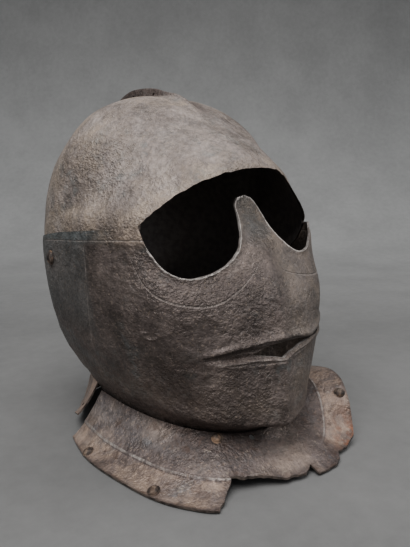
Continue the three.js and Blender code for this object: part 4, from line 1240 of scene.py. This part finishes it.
def set_rivet(name, node, seat, normal, radius, height, depth, body, rusty, seed):
    """Washer, head, shank through the plates and a burr behind them, as one piece on its seat."""
    bpy.ops.mesh.primitive_cylinder_add(vertices=40, radius=radius * WASHER_WIDER * MM,
                                        depth=WASHER_HEIGHT * MM,
                                        location=(0, 0, WASHER_HEIGHT / 2 * MM))
    washer = bpy.context.active_object
    bpy.ops.object.transform_apply(location=True, rotation=True, scale=True)
    apply_modifier(washer, "BEVEL", "worn", width=WASHER_WORN * MM, segments=2)
    length = depth + SHANK_SPARE
    bpy.ops.mesh.primitive_cylinder_add(vertices=24, radius=SHANK_RADIUS * MM, depth=length * MM,
                                        location=(0, 0, -length / 2 * MM))
    shank = bpy.context.active_object
    bpy.ops.object.transform_apply(location=True, rotation=True, scale=True)
    head = squashed("head", radius, height, WASHER_HEIGHT * 0.7, seed)
    burr = squashed("burr", BURR_RADIUS, BURR_HEIGHT, -depth - 0.1, seed + 0.5, 28)
    bpy.ops.object.select_all(action="DESELECT")
    for part in (washer, shank, burr, head):
        part.select_set(True)
    bpy.context.view_layer.objects.active = head
    bpy.ops.object.join()
    turn = normal.to_track_quat("Z", "Y").to_matrix().to_4x4()
    head.data.transform(Matrix.Translation(seat) @ turn)
    head.data.materials.append(rivet_iron)
    keep_value(head, "rust", np.full(len(head.data.vertices), rusty))
    finish_piece(head, name, body, [node], 35)


def middle_of(node):
    lo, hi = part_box(node)
    return (lo + hi) / 2


# Node, radius and height of the head in mm, and how rusty it is.
rivets = [("border_rivet_side", 4.3, 2.5, 0.25), ("border_rivet_front", 4.4, 2.6, 0.2),
          ("border_rivet_far", 4.3, 2.5, 0.3), ("throat_rivet", 4.0, 2.4, 0.7)]
for seed, (node, radius, height, rusty) in enumerate(rivets):
    spot = middle_of(node)
    _, _, normal, _ = gorget.closest_point_on_mesh(spot)
    normal = normal if normal.z > 0 else -normal
    _, seat, hit_normal, _ = gorget.ray_cast(spot + normal * 0.015, -normal)
    normal = (normal + hit_normal).normalized()
    set_rivet(node + "_head", node, seat, normal, radius, height, GORGET_WALL, "visor", rusty, seed + 1)
PIVOT_RADIUS, PIVOT_HEIGHT, PIVOT_DEPTH = 5.4, 2.9, 4.4
for side, node in ((-1, "pivot_rivet_right"), (1, "pivot_rivet_left")):
    spot = middle_of(node)
    outward = Vector((side, 0, 0))
    _, seat, _, _ = mask.closest_point_on_mesh(spot + outward * 0.02)
    set_rivet(node + "_head", node, seat, outward, PIVOT_RADIUS, PIVOT_HEIGHT, PIVOT_DEPTH,
              "helmet", 1.0, side + 9)

# %% [markdown]
# ## Floor, light and camera
# The helmet stands on a pale sweep of paper, as in a museum studio. Light is painted on the paper,
# darker near the camera and towards its top, brightest round its bend. The main soft light stands to
# the left in front like a window, a weak one hangs above and another reaches the far cheek. The light
# from all round is weak, so that the chin's underside stays dark.

# %% Stage
bpy.ops.mesh.primitive_grid_add(x_subdivisions=4, y_subdivisions=110, size=1)
sweep = bpy.context.active_object
sweep.name = "sweep"
flat = read_points(sweep)
# Metres of paper in front of the helmet, up to its bend, the bend's radius, and its whole run.
BEFORE, TURN, RADIUS, RUN = 6.0, 7.1, 0.9, 10.6
WIDTH, HEADING = 14, -36
run = (flat[:, 1] + 0.5) * RUN
angle = np.clip((run - TURN) / RADIUS, 0, math.pi / 2)
over = np.maximum(run - TURN - RADIUS * math.pi / 2, 0)
forward = np.minimum(run, TURN) + RADIUS * np.sin(angle) - BEFORE
up = RADIUS * (1 - np.cos(angle)) + over
write_points(sweep, np.column_stack([flat[:, 0] * WIDTH, forward, up]))
sweep.data.transform(Matrix.Rotation(math.radians(HEADING), 4, "Z"))
keep_value(sweep, "run", run / RUN)
only(sweep)
bpy.ops.object.shade_smooth_by_angle(angle=math.radians(60))
s = Finish("pale_paper")
clouds = s.math("MULTIPLY", s.grain(5, 4, 0.6), 0.6)
fibre = s.math("ADD", clouds, s.math("MULTIPLY", s.grain(60, 4, 0.7), 0.4))
# Metres along the run, and the grey there: painted light, darker near the camera and towards the top,
# brightest round the bend.
PAPER_PAINTED_LIGHT = [(5.6, 0.148), (6.4, 0.17), (6.9, 0.3), (7.4, 0.42), (7.9, 0.39), (8.7, 0.25)]
stops = [(at / RUN, (grey, grey * 0.985, grey * 0.96)) for at, grey in PAPER_PAINTED_LIGHT]
tone = s.ramp(s.stored("run"), stops)
paper = s.mix(1.0, tone, s.ramp(fibre, greys((0.38, 0.9), (0.62, 1.1))), "MULTIPLY")
sweep.data.materials.append(s.close(paper, 0.0, 0.9, s.bump(s.grain(400, 3), 0.15, 0.0005)))


def soft_light(name, at, target, size, watts):
    """A rectangular area light at a place, turned to its target."""
    bpy.ops.object.light_add(type="AREA", location=at)
    lamp = bpy.context.active_object
    lamp.name = name
    lamp.data.shape = "RECTANGLE"
    lamp.data.size, lamp.data.size_y = size
    lamp.data.energy = watts
    lamp.rotation_euler = (Vector(target) - Vector(at)).to_track_quat("-Z", "Y").to_euler()


soft_light("window", (-0.7, -0.55, 1.3), (0, 0, 0.12), (1.1, 0.9), 25)
soft_light("overhead", (0.2, 0.0, 1.6), (0, 0, 0.15), (1.1, 0.9), 6.8)
soft_light("far side", (1.25, -0.75, 0.75), (0, 0, 0.12), (0.7, 0.7), 6.5)
world = bpy.data.worlds.new("studio")
bpy.context.scene.world = world
world.use_nodes = True
SKY, SKY_STRENGTH = (0.9, 0.95, 1.0, 1), 0.34
world.node_tree.nodes["Background"].inputs["Color"].default_value = SKY
world.node_tree.nodes["Background"].inputs["Strength"].default_value = SKY_STRENGTH

# %% [markdown]
# ### The camera
# The camera stands where the photograph's did, as far as its perspective tells: half a metre away,
# about level with the temples and a little to the near side. Its three directions make its rotation.

# %% Camera
LENS = 35.55
CAMERA_PLACE = Vector((-280.23, -425.38, 214.57)) * MM
camera_data = bpy.data.cameras.new("camera")
camera = bpy.data.objects.new("camera", camera_data)
bpy.context.collection.objects.link(camera)
camera_data.lens = LENS
camera_data.clip_start = 0.01
right_of_view = Vector((0.8087, -0.5882, -0.0044))
up_of_view = Vector((0.0852, 0.1098, 0.9903))
look = Vector((0.582, 0.8012, -0.1389))
basis = Matrix((right_of_view, up_of_view, -look)).transposed().to_4x4()
camera.matrix_world = Matrix.Translation(CAMERA_PLACE) @ basis
bpy.context.scene.camera = camera
print("camera at", tuple(round(value, 3) for value in camera.matrix_world.translation))

# %% Size
print("CAD box:", cad_box)
